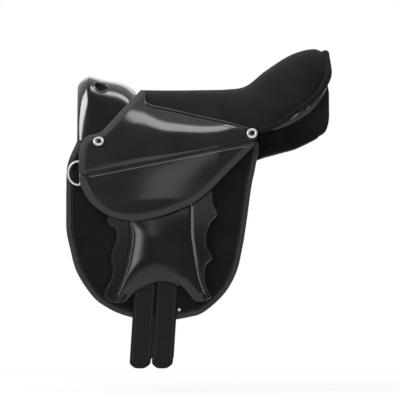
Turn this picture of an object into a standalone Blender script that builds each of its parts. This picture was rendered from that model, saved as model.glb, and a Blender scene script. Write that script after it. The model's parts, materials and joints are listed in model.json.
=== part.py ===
"""Pony saddle. +X to the cantle, +Z up, mirror-symmetric about XZ. Sizes in millimetres, built in metres.

The origin lies on the pony's back, midway between the two panels, under the seat's deepest point.
"""

import math

import bmesh
import bpy
import numpy as np
from mathutils import Vector

MM = 0.001

# Clearances
GAP = 0.3
SOFT_GAP = 0.8
CUT_GAP = 1.2
PANEL_GAP = 2.0

# Sheet thicknesses, from the pony outwards
FLAP_THICK = 4.0
BILLET_THICK = 3.0
FACING_THICK = 3.0
SKIRT_THICK = 3.0
TAB_THICK = 2.5
BINDING_WIDTH = 9.0
BINDING_PROUD = 0.8
COVER_THICK = 2.0
FOAM_THICK = 15.0
TREE_THICK = 6.0
POMMEL_WALL = 4.5

# The barrel of the pony that the flaps wrap
BARREL_TOP_Z = 10.0
BARREL_TOP_HALF = 108.0
BARREL_SWELL = 46.0
BARREL_DEPTH = 262.0
BARREL_SLOPE = 0.27

# The fold line that the flap and the skirt lift about
FOLD_FRONT = (-171.0, -36.75)
FOLD_REAR = (75.0, 12.0)
CUT_FRONT = (-201.0, -63.0)
CUT_REAR = (93.0, 7.5)

# Seat: centre line and rim, each from the front to the cantle
SEAT_CENTRE = [(-90, 91), (-45, 90.5), (0, 91), (40, 92), (69, 97), (97.5, 119), (127.5, 139),
               (150, 149), (172, 153), (188, 150)]
SEAT_RIM = [(-82.5, 52, 66), (-45, 62, 57.5), (0, 77, 47), (40, 93, 38), (80, 108, 27),
            (112, 109, 36), (145, 101, 59), (172, 90, 79), (193, 62, 112), (191, 12, 148)]
# Where the skirt's upper part comes in over the pommel, in front of the seat's rim
SHOULDER_FRONT = (-150, 36, 81)
SEAT_CROWN = 2.3
RIM_GAP = 0.8
FRONT_RIM_GAP = 5.5
SHOULDER_CURVE = 1.5
RIM_TUBE = 3.5

# Pommel: centre line of its top, and its lower edge
POMMEL_TOP = [(-184.5, 98), (-178, 106), (-168, 112), (-158, 110), (-148, 107), (-135, 104.5),
              (-122, 102), (-109, 97), (-97.5, 89)]
POMMEL_FOOT_Z = 16.0
POMMEL_FOOT_HALF = 82.0
POMMEL_LIP = 13.0
FINGER_HOLE = 19.0
FINGER_HOLE_X = -149.0
FINGER_HOLE_Y = 30.0
FINGER_HOLE_TILT = 39.0

# Straps and their hardware
BILLET_WIDTH = 30.5
BILLET_X = (-83.0, -50.0)
BILLET_LEAN = 3.6
BILLET_TOP_Z = -70.0
BILLET_MOUTH_Z = -222.0
BILLET_TIP_Z = -325.0
BILLET_HOLES_Z = (-282.0, -307.0)
BILLET_HOLE = 4.0
MOUTH_GAP = 4.0
TIP_RISE = (10.0, 3.0, 0.0)
TIP_TAPER = (0.0, 4.0, 9.0)
D_RING_WIRE = 3.2
D_RING_X = -178.5
D_RING_TOP_Z = -17.5
D_RING_LOW_Z = -52.5
D_RING_REACH = 18.0
RIVET_X = -31.0
RIVET_Z = -238.0
RIVET_HEAD = 5.0
RIVET_RISE = 1.5
STUD_RING = 16.5
STUD_WIRE = 2.0
STUD_SCREW = 8.0
SCREW_SINK = 0.5
SCREW_RISE = 0.4
# Each stud: its place in X and Z, and how far what lies on the skirt there lifts it
STUDS = ((-151.5, 12.0, BINDING_PROUD), (78.0, 24.0, 0.0))

# Stirrup bar
BAR_LENGTH = 76.0
BAR_X = -52.0
BAR_Z = 17.0
BAR_ROD = 8.0
BAR_SLOT = 8.0
BAR_PLATE = 4.0
BAR_PLATE_HEIGHT = 18.0
BAR_ARM = 10.0
BAR_INSET = 30.0
BAR_FACE = BARREL_TOP_HALF - BAR_INSET
CATCH_LENGTH = 11.0
CATCH_NOSE = 3.5
THUMB_THICK = 5.6
RAIL_INSET = 8.0
TREE_HEAD_X = (-140, -126, -114, -104)
TREE_HEAD_SHARE = 0.92
TREE_RAIL_TOP = 50.0
TREE_RAIL_TOP_Y = 58.0
GULLET_PLATE = 3.0
HEAD_DEPTH = POMMEL_WALL + 1.3
GULLET_PLATE_X = (-137, -126, -114, -104)

# Panels
GULLET_HALF = 24.0
PANEL_REACH = 0.86
PANEL_BULGE = 2.5
PANEL_BASE_Z = 6.0
PANEL_ROUND = 0.0042
PANEL_BELLY = 5.0
WEB_THICK = 2.0
WEB_LOW_Z = -64.0
WEB_SWELL = 18.0
WEB_REACH = (-46.0, 17.0)

# Inner face of each layer, measured out from the barrel
POCKET_INNER = FLAP_THICK + GAP
BILLET_INNER = FLAP_THICK + BINDING_PROUD + GAP
FACING_INNER = POCKET_INNER + BILLET_THICK + GAP
SKIRT_INNER = FACING_INNER + FACING_THICK + BINDING_PROUD + GAP
SKIRT_OUTER = SKIRT_INNER + SKIRT_THICK
# Behind the facing the skirt lies on the flap alone, and draws in between two places along X
REAR_INNER = FLAP_THICK + 2 * BINDING_PROUD + 3 * GAP
REAR_DRAW = (30.0, 70.0)


def spline(points, steps):
    """A Catmull-Rom curve through the points, with the same number of steps between each two."""
    pts = np.array(points, float)
    padded = np.vstack([2 * pts[0] - pts[1], pts, 2 * pts[-1] - pts[-2]])
    t = np.linspace(0, 1, steps + 1)[:-1, None]
    runs = []
    for a, b, c, d in zip(padded, padded[1:], padded[2:], padded[3:]):
        runs.append(0.5 * (2 * b + (c - a) * t + (2 * a - 5 * b + 4 * c - d) * t**2
                           + (3 * b - a - 3 * c + d) * t**3))
    return np.vstack(runs + [pts[-1:]])


def resample(path, count):
    """The path read at count places an equal distance apart."""
    travel = np.concatenate([[0], np.cumsum(np.linalg.norm(np.diff(path, axis=0), axis=1))])
    wanted = np.linspace(0, travel[-1], count)
    return np.stack([np.interp(wanted, travel, path[:, k]) for k in range(path.shape[1])], axis=1)


def smooth(points, count):
    return resample(spline(points, 12), count)


def height_on(line, x):
    """Height of a straight line, given by two (x, z) ends, at x."""
    (x0, z0), (x1, z1) = line
    return z0 + (z1 - z0) * (np.asarray(x) - x0) / (x1 - x0)


def barrel(z):
    """Half-width of the pony's barrel at height z: it swells as a quarter sine below its top."""
    z = np.asarray(z, float)
    t = np.clip((BARREL_TOP_Z - z) / BARREL_DEPTH, 0, 1)
    above = np.maximum(z - BARREL_TOP_Z, 0)
    return BARREL_TOP_HALF + BARREL_SWELL * np.sin(t * math.pi / 2) - BARREL_SLOPE * above


def fold_height(x):
    return height_on((FOLD_FRONT, FOLD_REAR), x)


def cut_height(x):
    return height_on((CUT_FRONT, CUT_REAR), x)


def skirt_stand(x):
    """How far the skirt's inner face stands out from the barrel at x."""
    return np.interp(x, REAR_DRAW, (SKIRT_INNER, REAR_INNER))


RIM_GUIDE = spline([SHOULDER_FRONT] + SEAT_RIM[:8], 6)


def shoulder(x, z):
    """Half-width of the skirt's inner face above the fold, drawn in from the fold to the seat's rim."""
    low_z = fold_height(x)
    low = barrel(low_z) + skirt_stand(x)
    rim_y = np.interp(x, RIM_GUIDE[:, 0], RIM_GUIDE[:, 1])
    rim_z = np.interp(x, RIM_GUIDE[:, 0], RIM_GUIDE[:, 2])
    share = np.clip((z - low_z) / np.maximum(rim_z - low_z, 8), 0, 1.4)
    gap = np.interp(x, (SEAT_RIM[0][0], SEAT_RIM[0][0] + 28), (FRONT_RIM_GAP, RIM_GAP))
    return low - (low - rim_y - gap) * share**SHOULDER_CURVE


def skirt_face(x, z):
    """Half-width of the skirt's inner face, over the flap below the fold and on the tree above it."""
    return np.where(np.asarray(z) < fold_height(x), barrel(z) + skirt_stand(x), shoulder(x, z))


def flap_face(x, z):
    """Half-width of the flap's inner face: on the barrel, and kept inside the skirt above the fold."""
    room = np.interp(x, REAR_DRAW, (FLAP_THICK + TAB_THICK + BINDING_PROUD + 4 * GAP, REAR_INNER))
    return np.minimum(barrel(z), skirt_face(x, z) - room)


def below(path, line, gap=0.0):
    """The stretch of an (x, z) path that lies under a straight line, less the gap, ended exactly on it."""
    over = path[:, 1] - height_on(line, path[:, 0]) + gap
    under = np.flatnonzero(over < 0)
    ends = []
    for last, beyond in ((under[0], max(under[0] - 1, 0)), (under[-1], min(under[-1] + 1, len(path) - 1))):
        share = over[last] / min(over[last] - over[beyond], -1e-9)
        ends.append(path[last] + (path[beyond] - path[last]) * share)
    return np.vstack([ends[0], path[under], ends[1]])


def coons(front, rear, top, bottom):
    """A Coons patch: four borders in (x, z), blended across. Front and rear run downwards."""
    rows, cols = len(front), len(top)
    v = np.linspace(0, 1, rows)[:, None, None]
    u = np.linspace(0, 1, cols)[None, :, None]
    sides = (1 - u) * front[:, None] + u * rear[:, None]
    ends = (1 - v) * top[None] + v * bottom[None]
    corners = ((1 - u) * (1 - v) * front[0] + u * (1 - v) * rear[0]
               + (1 - u) * v * front[-1] + u * v * rear[-1])
    return sides + ends - corners


def hanging(outline, edge, turns, rows, cols, line=None, gap=0.0):
    """A patch inside an outline that runs down the front, along the bottom and up the rear.

    edge is how far it keeps inside; turns are the two shares of the outline's length at its lower corners.
    line is the straight line that it ends at, less the gap, if it lies below one.
    """
    path = inset(smooth(outline, 241), edge)
    if line:
        path = resample(below(path, line, gap), 241)
    first, second = (int(round(240 * share)) for share in turns)
    front = resample(path[:first + 1], rows)
    bottom = resample(path[first:second + 1], cols)
    rear = resample(path[second:][::-1], rows)
    top = resample(np.array([path[0], path[-1]]), cols)
    return coons(front, rear, top, bottom)


def inset(path, distance):
    """The (x, z) path moved sideways to its left by distance."""
    path = np.asarray(path, float)
    along = np.gradient(path, axis=0)
    along /= np.linalg.norm(along, axis=1)[:, None]
    return path + np.stack([-along[:, 1], along[:, 0]], axis=1) * distance


def normals(grid):
    """Unit normals of a grid of points, from its rows and columns."""
    along = np.gradient(grid, axis=0)
    across = np.gradient(grid, axis=1)
    n = np.cross(along, across)
    return n / np.maximum(np.linalg.norm(n, axis=2), 1e-9)[:, :, None]


def material(name, colour, roughness, metallic=0.0):
    made = bpy.data.materials.new(name)
    made.use_nodes = True
    shader = made.node_tree.nodes["Principled BSDF"]
    shader.inputs["Base Color"].default_value = (*colour, 1)
    shader.inputs["Roughness"].default_value = roughness
    shader.inputs["Metallic"].default_value = metallic
    return made


def add_mesh(name, vertices, faces, finish, home):
    """A closed mesh from points in millimetres, its doubles merged and its faces turned outwards."""
    mesh = bpy.data.meshes.new(name)
    mesh.from_pydata([tuple(p) for p in np.asarray(vertices) * MM], [], faces)
    work = bmesh.new()
    work.from_mesh(mesh)
    bmesh.ops.remove_doubles(work, verts=work.verts, dist=1e-5)
    bmesh.ops.dissolve_degenerate(work, edges=work.edges, dist=1e-6)
    bmesh.ops.recalc_face_normals(work, faces=work.faces)
    work.to_mesh(mesh)
    work.free()
    mesh.shade_smooth()
    mesh.set_sharp_from_angle(angle=math.radians(40))
    obj = bpy.data.objects.new(name, mesh)
    mesh.materials.append(finish)
    home.objects.link(obj)
    return obj


def grid_solid(name, inner, outer, finish, home):
    """A closed solid between two grids of the same shape: both faces and the rim that joins them."""
    rows, cols = inner.shape[:2]
    count = rows * cols
    index = np.arange(count).reshape(rows, cols)
    quads = []
    for i in range(rows - 1):
        for j in range(cols - 1):
            a, b, c, d = index[i, j], index[i, j + 1], index[i + 1, j + 1], index[i + 1, j]
            quads += [(a, b, c), (a, c, d)]
            quads += [(c + count, b + count, a + count), (d + count, c + count, a + count)]
    border = np.concatenate([index[0, :], index[1:, -1], index[-1, -2::-1], index[-2:0:-1, 0]])
    for a, b in zip(border, np.roll(border, -1)):
        quads.append((b, a, a + count, b + count))
    quads = [tuple(int(k) for k in quad) for quad in quads]
    points = np.vstack([inner.reshape(-1, 3), outer.reshape(-1, 3)])
    return add_mesh(name, points, quads, finish, home)


def leaf(name, xz, inner_y, thick, side, finish, home):
    """A sheet over an (x, z) grid: its inner face at the given half-width, its outer one thick beyond."""
    x, z = xz[..., 0], xz[..., 1]
    inner = np.stack([x, side * inner_y, z], axis=-1)
    outer = np.stack([x, side * (inner_y + thick), z], axis=-1)
    return grid_solid(name, inner, outer, finish, home)


def band(name, path, width, face, thick, side, finish, home, count, line=None):
    """A folded binding along the (x, z) path, width deep, standing a little proud of both faces.

    line is the straight line that it ends at, if it lies below one.
    """
    lanes = []
    for share in (0.0, 0.25, 1.0):
        lane = inset(smooth(path, 4 * count), width * share)
        lanes.append(resample(below(lane, line) if line else lane, count))
    xz = np.stack(lanes, axis=1)
    y = face(xz[..., 0], xz[..., 1])
    pinch = np.array([thick * 0.3, 0.0, 0.0])
    x, z = xz[..., 0], xz[..., 1]
    low = np.stack([x, side * (y - BINDING_PROUD + pinch), z], axis=-1)
    high = np.stack([x, side * (y + thick + BINDING_PROUD - pinch), z], axis=-1)
    return grid_solid(name, low, high, finish, home)


def tube(name, points, radius, finish, home, closed=False, sides=2):
    """A round wire along the points, as a welded closed mesh."""
    data = bpy.data.curves.new(name, "CURVE")
    data.dimensions = "3D"
    data.bevel_depth = radius * MM
    data.bevel_resolution = sides
    data.use_fill_caps = not closed
    spline = data.splines.new("POLY")
    spline.points.add(len(points) - 1)
    spline.use_cyclic_u = closed
    for place, point in zip(spline.points, points):
        place.co = (*[float(k) * MM for k in point], 1)
    carrier = bpy.data.objects.new(name + "_curve", data)
    home.objects.link(carrier)
    graph = bpy.context.evaluated_depsgraph_get()
    mesh = bpy.data.meshes.new_from_object(carrier.evaluated_get(graph))
    bpy.data.objects.remove(carrier)
    work = bmesh.new()
    work.from_mesh(mesh)
    bmesh.ops.remove_doubles(work, verts=work.verts, dist=1e-5)
    bmesh.ops.recalc_face_normals(work, faces=work.faces)
    work.to_mesh(mesh)
    work.free()
    mesh.materials.clear()
    mesh.materials.append(finish)
    mesh.shade_smooth()
    obj = bpy.data.objects.new(name, mesh)
    home.objects.link(obj)
    return obj


def solid_box(name, centre, size, finish, home):
    """A box by its centre and its three side lengths."""
    work = bmesh.new()
    bmesh.ops.create_cube(work, size=1)
    for vertex in work.verts:
        vertex.co = Vector([(c + v * s) * MM for c, v, s in zip(centre, vertex.co, size)])
    mesh = bpy.data.meshes.new(name)
    work.to_mesh(mesh)
    work.free()
    mesh.materials.append(finish)
    obj = bpy.data.objects.new(name, mesh)
    home.objects.link(obj)
    return obj


def rod(name, start, end, radius, finish, home, segments=20):
    """A round bar between two points."""
    start, end = Vector(start), Vector(end)
    work = bmesh.new()
    bmesh.ops.create_cone(work, cap_ends=True, segments=segments, radius1=radius * MM,
                          radius2=radius * MM, depth=(end - start).length * MM)
    turn = (end - start).to_track_quat("Z", "Y")
    for vertex in work.verts:
        vertex.co = turn @ vertex.co + (start + end) / 2 * MM
    mesh = bpy.data.meshes.new(name)
    work.to_mesh(mesh)
    work.free()
    mesh.shade_smooth()
    mesh.set_sharp_from_angle(angle=math.radians(40))
    mesh.materials.append(finish)
    obj = bpy.data.objects.new(name, mesh)
    home.objects.link(obj)
    return obj


def combine(target, other, operation):
    """Joins or cuts target with other, by a Boolean applied to its mesh."""
    modifier = target.modifiers.new("combine", "BOOLEAN")
    modifier.object = other
    modifier.operation = operation
    graph = bpy.context.evaluated_depsgraph_get()
    mesh = bpy.data.meshes.new_from_object(target.evaluated_get(graph))
    target.modifiers.clear()
    target.data = mesh
    if operation == "UNION":
        bpy.data.objects.remove(other)


def cut(target, cutter):
    cutter.hide_render = True
    cutter.display_type = "WIRE"
    combine(target, cutter, "DIFFERENCE")


def hang(pieces, name, place, home):
    """Parents pieces to an empty on their joint's axis, leaving them where they are."""
    pivot = bpy.data.objects.new(name, None)
    pivot.location = [k * MM for k in place]
    home.objects.link(pivot)
    bpy.context.view_layer.update()
    for piece in pieces:
        piece.parent = pivot
        piece.matrix_parent_inverse = pivot.matrix_world.inverted()
    return pivot


def ring_solid(name, rings, finish, home):
    """A closed solid lofted through rings of points, with a flat face at each end."""
    rows, around = rings.shape[:2]
    index = np.arange(rows * around).reshape(rows, around)
    faces = [tuple(int(k) for k in index[0]), tuple(int(k) for k in index[-1][::-1])]
    for i in range(rows - 1):
        for j in range(around):
            k = (j + 1) % around
            faces.append(tuple(int(n) for n in (index[i, j], index[i + 1, j], index[i + 1, k], index[i, k])))
    return add_mesh(name, rings.reshape(-1, 3), faces, finish, home)


# Outlines in (x, z), each down the front, along the bottom and up the rear
FLAP_OUTLINE = [(-199.5, -59), (-199.5, -93), (-199, -120), (-193.5, -147), (-183, -183), (-159, -219),
                (-136.5, -236), (-114, -246), (-90, -251.5), (-50, -254), (-18, -249.5), (6, -241.5),
                (36, -214.5), (54, -183), (63, -147), (69, -111), (76.5, -57), (82, -30), (89.5, 9)]
FLAP_TURNS = (0.28, 0.62)
FLAP_FRONT_TURN = (-197.5, -21.4)
FLAP_TOP = [(-184, 13), (-150, 8), (0, 6), (86, 12)]
SKIRT_OUTLINE = [(-180.6, -36), (-178.8, -50), (-168, -72), (-156, -85), (-138, -97.5), (-120, -103.5),
                 (-102, -105.6), (-78, -103.5), (-54, -97.5), (-30, -88.5), (-9, -79), (15, -60),
                 (45, -30), (63, -12), (80, 6), (84, 15.5)]
SKIRT_TURNS = (0.24, 0.44)
SKIRT_TOP_EDGE = [(-88.5, 91.5), (-119, 58.5), (-147, 28), (-168, 20.5), (-178.5, 6), (-180.6, -14),
                  (-180.6, -37)]
SKIRT_SEAM = [(-86, 90), (-81, 67.5), (-45, 58), (0, 47.5), (40, 38.5), (84, 25.5)]
FACING_OUTLINE = [(-138, -64), (-136.5, -108), (-125, -119), (-124, -135), (-131.5, -158), (-129, -181),
                  (-133, -196), (-142, -214), (-133, -226), (-114, -227), (-105, -219), (-92, -208),
                  (-67.5, -197.4), (-48.8, -196), (-27, -203.4), (-16.8, -214.5), (-5, -226), (16.5, -221),
                  (10, -206), (7, -190), (9, -172), (18, -161), (10, -144), (9.5, -126), (16, -108.6),
                  (25.5, -97), (19.5, -80), (16.5, -45)]
FACING_TURNS = (0.298, 0.66)
FACING_DOME = 5.0
TAB_FRONT = [(-160, 14), (-173, 4), (-181.5, -5), (-181.5, -11), (-176.5, -15), (-176.5, -24)]
TAB_REAR = [(-140, 4), (-150, -16), (-162, -34), (-176.5, -46)]
# Panel, along X: how far its low edge keeps inside the barrel's top, and how far it lifts
PANEL_LOW_EDGE = [(-150, 32), (-92, 18), (0, 9), (60, 7), (93, 8), (145, 11), (172, 21), (199, 46)]
PANEL_LIFT = [(-150, -6), (0, 0), (60, 12), (93, 24), (138, 34), (174, 41), (188, 46), (199, 56)]
# Its rounded ends: how far along X, the share of its section, and for the front the drop
PANEL_NOSES = ((-58, 0.62, -16), (-50, 0.8, -14), (-28, 0.92, -8))
PANEL_TAILS = ((5, 0.95), (9.5, 0.84), (13, 0.64))


def seat_grid(depth, edge):
    """The seat's surface, depth below its top; edge keeps it inside the rim at the cantle."""
    centre = spline(SEAT_CENTRE, 2)
    rim = spline(SEAT_RIM, 2)
    v = np.linspace(-1, 1, 15)[None, :, None]
    away = np.abs(v)
    rows = np.linspace(0, 1, len(centre))[:, None, None]
    x = centre[:, None, :1] + (rim[:, None, :1] - centre[:, None, :1]) * away**2
    y = rim[:, None, 1:2] * v
    z = centre[:, None, 1:2] - (centre[:, None, 1:2] - rim[:, None, 2:3]) * away**SEAT_CROWN
    grid = np.concatenate([x, y, z], axis=2)
    up = normals(grid)
    grid = grid - up * depth
    aim = np.concatenate([x - 60, y, z * 0], axis=2)
    aim /= np.linalg.norm(aim, axis=2)[:, :, None]
    cantle = np.clip((rim[:, None, :1] - 60) / 20, 0, 1)
    weight = np.maximum(away**8 * (0.25 + 0.75 * cantle), rows**12)
    return grid - aim * edge * weight


def foam_depth():
    v = np.abs(np.linspace(-1, 1, 15))[None, :, None]
    return FOAM_THICK * (1 - 0.75 * v**3)


def head_rows(depth, stations):
    """Arches that follow the pommel's outside, depth below it, at the stations along X."""
    x = np.array(stations, float)[:, None]
    y = np.linspace(-1, 1, 15)[None, :] * (POMMEL_FOOT_HALF - POMMEL_WALL) * TREE_HEAD_SHARE
    crown = np.interp(x, *np.array(POMMEL_TOP).T)
    fall = (crown - POMMEL_FOOT_Z) / POMMEL_FOOT_HALF**2
    z = crown - fall * y**2 - depth * np.sqrt(1 + (2 * fall * y)**2)
    return np.stack([x + y * 0, y + x * 0, z], axis=-1)


def make_seat(finishes, home):
    edge = RIM_TUBE + 2.0
    top = seat_grid(0, edge)
    under = seat_grid(COVER_THICK, edge)
    grid_solid("seat_cover", under, top, finishes["suede"], home)
    foam_top = seat_grid(COVER_THICK + SOFT_GAP, edge)
    foam_low = seat_grid(COVER_THICK + SOFT_GAP + foam_depth(), edge)
    grid_solid("seat_foam", foam_low, foam_top, finishes["foam"], home)
    depth = COVER_THICK + 2 * SOFT_GAP + foam_depth()
    head_top = head_rows(HEAD_DEPTH, TREE_HEAD_X)
    head_low = head_rows(HEAD_DEPTH + TREE_THICK, TREE_HEAD_X)
    tree_top = np.concatenate([head_top, seat_grid(depth, edge)])
    tree_low = np.concatenate([head_low, seat_grid(depth + TREE_THICK, edge)])
    tree = grid_solid("tree", tree_low, tree_top, finishes["moulding"], home)
    for side in (-1, 1):
        plate_top = BAR_Z + BAR_PLATE_HEIGHT / 2
        z = np.linspace(TREE_RAIL_TOP, BAR_Z - BAR_PLATE_HEIGHT / 2, 5)[:, None] + np.zeros(5)
        reach = BAR_LENGTH / 2 - RAIL_INSET
        x = np.linspace(BAR_X - reach, BAR_X + reach, 5)[None, :] + z * 0
        y = np.interp(z, (plate_top + GAP, TREE_RAIL_TOP), (BAR_FACE - GAP, TREE_RAIL_TOP_Y)) - TREE_THICK
        rail = leaf("rail", np.stack([x, z], axis=-1), y, TREE_THICK, side, finishes["moulding"], home)
        combine(tree, rail, "UNION")
    plate_top = head_rows(HEAD_DEPTH + GAP + TREE_THICK, GULLET_PLATE_X)
    plate_low = head_rows(HEAD_DEPTH + GAP + TREE_THICK + GULLET_PLATE, GULLET_PLATE_X)
    grid_solid("gullet_plate", plate_low, plate_top, finishes["steel"], home)
    rim = spline(SEAT_RIM[4:], 3)[1:]
    loop = np.vstack([rim * (1, -1, 1), rim[::-1]])
    tube("seat_binding", resample(loop, 38), RIM_TUBE, finishes["binding"], home)


def pommel_grid():
    """Parabolic arches along the pommel, the first two drawn in to make its front lip."""
    line = smooth(POMMEL_TOP, 13)
    lip = [(line[0][0] + 4, line[0][1] - POMMEL_LIP), (line[0][0] - 0.2, line[0][1] - POMMEL_LIP / 2)]
    line = np.vstack([lip, line])
    drawn = np.maximum(line[2, 1] - line[:, 1], 0)
    drawn[3:] = 0
    a = np.linspace(-1, 1, 21)[None, :]
    x = line[:, :1] + a * 0
    y = (POMMEL_FOOT_HALF - drawn[:, None] * 0.8) * a
    z = line[:, 1:2] - (line[:, 1:2] - POMMEL_FOOT_Z) * a**2
    return np.stack([x, y, z], axis=-1)


def make_pommel(finishes, home, cutters):
    outer = pommel_grid()
    inner = outer - normals(outer) * POMMEL_WALL
    head = grid_solid("pommel_head", inner, outer, finishes["moulding"], home)
    lean = math.radians(FINGER_HOLE_TILT)
    for side in (-1, 1):
        middle = np.array([FINGER_HOLE_X, side * FINGER_HOLE_Y, 95.0])
        aim = np.array([0, side * math.sin(lean), math.cos(lean)]) * 20
        hole = rod(f"finger_hole_{side}", middle - aim, middle + aim, FINGER_HOLE / 2, finishes["foam"],
                   cutters)
        cut(head, hole)
    return head


def make_sheets(side, word, finishes, home):
    """The flap, facing and skirt of one side, with their bindings, from the pony outwards."""
    edge = BINDING_WIDTH + 2 * GAP
    pieces = {}
    cut_line, fold_line = (CUT_FRONT, CUT_REAR), (FOLD_FRONT, FOLD_REAR)
    grid = hanging(FLAP_OUTLINE, edge, FLAP_TURNS, 12, 12, cut_line)
    pieces["flap"] = leaf(f"flap_{word}", grid, barrel(grid[..., 1]), FLAP_THICK, side, finishes["suede"],
                          home)
    pieces["flap_binding"] = band(f"flap_binding_{word}", FLAP_OUTLINE, BINDING_WIDTH, flap_face,
                                  FLAP_THICK, side, finishes["binding"], home, 40, cut_line)
    front_x, rear_x = FLAP_OUTLINE[0][0], FLAP_OUTLINE[-1][0]
    front_z, rear_z = cut_height(front_x) + CUT_GAP, cut_height(rear_x) + CUT_GAP
    upper_front = [FLAP_TOP[0], FLAP_FRONT_TURN, (front_x, front_z)]
    upper_rear = [FLAP_TOP[-1], (rear_x, rear_z)]
    bottom = [upper_front[-1], upper_rear[-1]]
    grid = coons(smooth(upper_front, 8), smooth(upper_rear, 8), smooth(FLAP_TOP, 12), smooth(bottom, 12))
    leaf(f"flap_upper_{word}", grid, flap_face(grid[..., 0], grid[..., 1]), FLAP_THICK, side,
         finishes["suede"], home)

    grid = hanging(FACING_OUTLINE, 0.0, FACING_TURNS, 13, 16)
    height = np.clip((-110 - grid[..., 1]) / 100, 0, 1)
    across = np.linspace(0, 1, grid.shape[1])[None, :]
    dome = FACING_DOME * np.sin(height * math.pi) * np.sin(across * math.pi)**1.5
    pieces["facing"] = leaf(f"flap_facing_{word}", grid, barrel(grid[..., 1]) + FACING_INNER,
                            FACING_THICK + dome, side, finishes["leather"], home)

    grid = hanging(SKIRT_OUTLINE, edge, SKIRT_TURNS, 9, 14, fold_line, CUT_GAP)
    pieces["skirt"] = leaf(f"skirt_{word}", grid, skirt_face(grid[..., 0], grid[..., 1]), SKIRT_THICK, side,
                           finishes["leather"], home)
    below_fold = [(x, z - CUT_GAP) for x, z in fold_line]
    pieces["skirt_binding"] = band(f"skirt_binding_{word}", SKIRT_OUTLINE, BINDING_WIDTH, skirt_face,
                                   SKIRT_THICK, side, finishes["binding"], home, 34, below_fold)
    front = inset(smooth(SKIRT_TOP_EDGE, 61), edge + 2 * GAP)
    front[-1, 1] = fold_height(front[-1, 0])
    seam = smooth(SKIRT_SEAM, 15)
    seam = resample(np.vstack([front[:1], seam[1:]]), 15)
    rear_x = SKIRT_SEAM[-1][0]
    rear = np.array([seam[-1], (rear_x, fold_height(rear_x))])
    base = np.array([front[-1], rear[-1]])
    grid = coons(resample(front, 10), resample(rear, 10), seam, resample(base, 15))
    leaf(f"skirt_upper_{word}", grid, skirt_face(grid[..., 0], grid[..., 1]), SKIRT_THICK, side,
         finishes["leather"], home)
    band(f"skirt_upper_binding_{word}", SKIRT_TOP_EDGE, BINDING_WIDTH, skirt_face, SKIRT_THICK, side,
         finishes["binding"], home, 22)
    return pieces


def billet_centre(start_x, z):
    return start_x + (z - BILLET_MOUTH_Z) * math.tan(math.radians(BILLET_LEAN))


def make_billets(side, word, finishes, home, cutters):
    """Two girth straps a side: the run in the flap's pocket, and the free tail that swings."""
    tails = []
    mouth_y = side * (barrel(BILLET_MOUTH_Z) + BILLET_INNER)
    for start_x, place in zip(BILLET_X, ("front", "rear")):
        runs = (("run", BILLET_TOP_Z, BILLET_MOUTH_Z + MOUTH_GAP),
                ("tail", BILLET_MOUTH_Z - MOUTH_GAP, BILLET_TIP_Z))
        for part, high, low in runs:
            z = np.linspace(high, low, 9)
            half = np.full(9, BILLET_WIDTH / 2)
            if part == "tail":
                z = np.append(z[:-1], low + np.array(TIP_RISE))
                half = np.append(half[:-1], BILLET_WIDTH / 2 - np.array(TIP_TAPER))
            across = np.linspace(-1, 1, 3)
            x = billet_centre(start_x, z)[:, None] + half[:, None] * across
            xz = np.stack([x, z[:, None] + 0 * across], axis=-1)
            name = f"billet_{place}_{word}" + ("_upper" if part == "run" else "")
            inner = POCKET_INNER if part == "run" else BILLET_INNER
            strap = leaf(name, xz, barrel(xz[..., 1]) + inner, BILLET_THICK, side,
                         finishes["leather"], home)
            if part == "tail":
                for k, hole_z in enumerate(BILLET_HOLES_Z):
                    x0, y0 = billet_centre(start_x, hole_z), barrel(hole_z) + BILLET_INNER
                    start = (x0, side * (y0 - 2 * BILLET_THICK), hole_z)
                    end = (x0, side * (y0 + 3 * BILLET_THICK), hole_z)
                    punch = rod(f"punch_{place}_{word}_{k}", start, end, BILLET_HOLE / 2, finishes["foam"],
                                cutters, 12)
                    cut(strap, punch)
                tails.append((strap, (start_x, mouth_y, BILLET_MOUTH_Z)))
    return tails


def make_d_ring(side, word, finishes, home):
    """The strap tab under the front stud, and the ring that turns on its own straight bar."""
    middle = (D_RING_TOP_Z + D_RING_LOW_Z) / 2
    half = (D_RING_TOP_Z - D_RING_LOW_Z) / 2
    clear = FLAP_THICK + D_RING_WIRE / 2 + 2 * GAP
    ends = barrel(np.array([D_RING_TOP_Z, D_RING_LOW_Z])) + clear
    lean = (ends[0] - ends[1]) / (2 * half)
    y = (ends[0] + ends[1]) / 2
    turn = np.linspace(-math.pi / 2, math.pi / 2, 15)
    bow = [(D_RING_X - 1 - (D_RING_REACH - 1) * math.cos(a), half * math.sin(a)) for a in turn]
    bow += [(D_RING_X, half), (D_RING_X, -half)]
    loop = [(x, side * (y + rise * lean), middle + rise) for x, rise in bow]
    ring = tube(f"d_ring_{word}", loop, D_RING_WIRE / 2, finishes["steel"], home, closed=True, sides=2)
    front, rear = resample(np.array(TAB_FRONT, float), 10), resample(np.array(TAB_REAR, float), 10)
    top = resample(np.array([front[0], rear[0]]), 5)
    bottom = resample(np.array([front[-1], rear[-1]]), 5)
    grid = coons(front, rear, top, bottom)
    inner_y = flap_face(grid[..., 0], grid[..., 1]) + FLAP_THICK + 2 * GAP
    leaf(f"d_ring_tab_{word}", grid, inner_y, TAB_THICK, side, finishes["leather"], home)
    return ring, (D_RING_X, side * y, middle)


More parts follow.
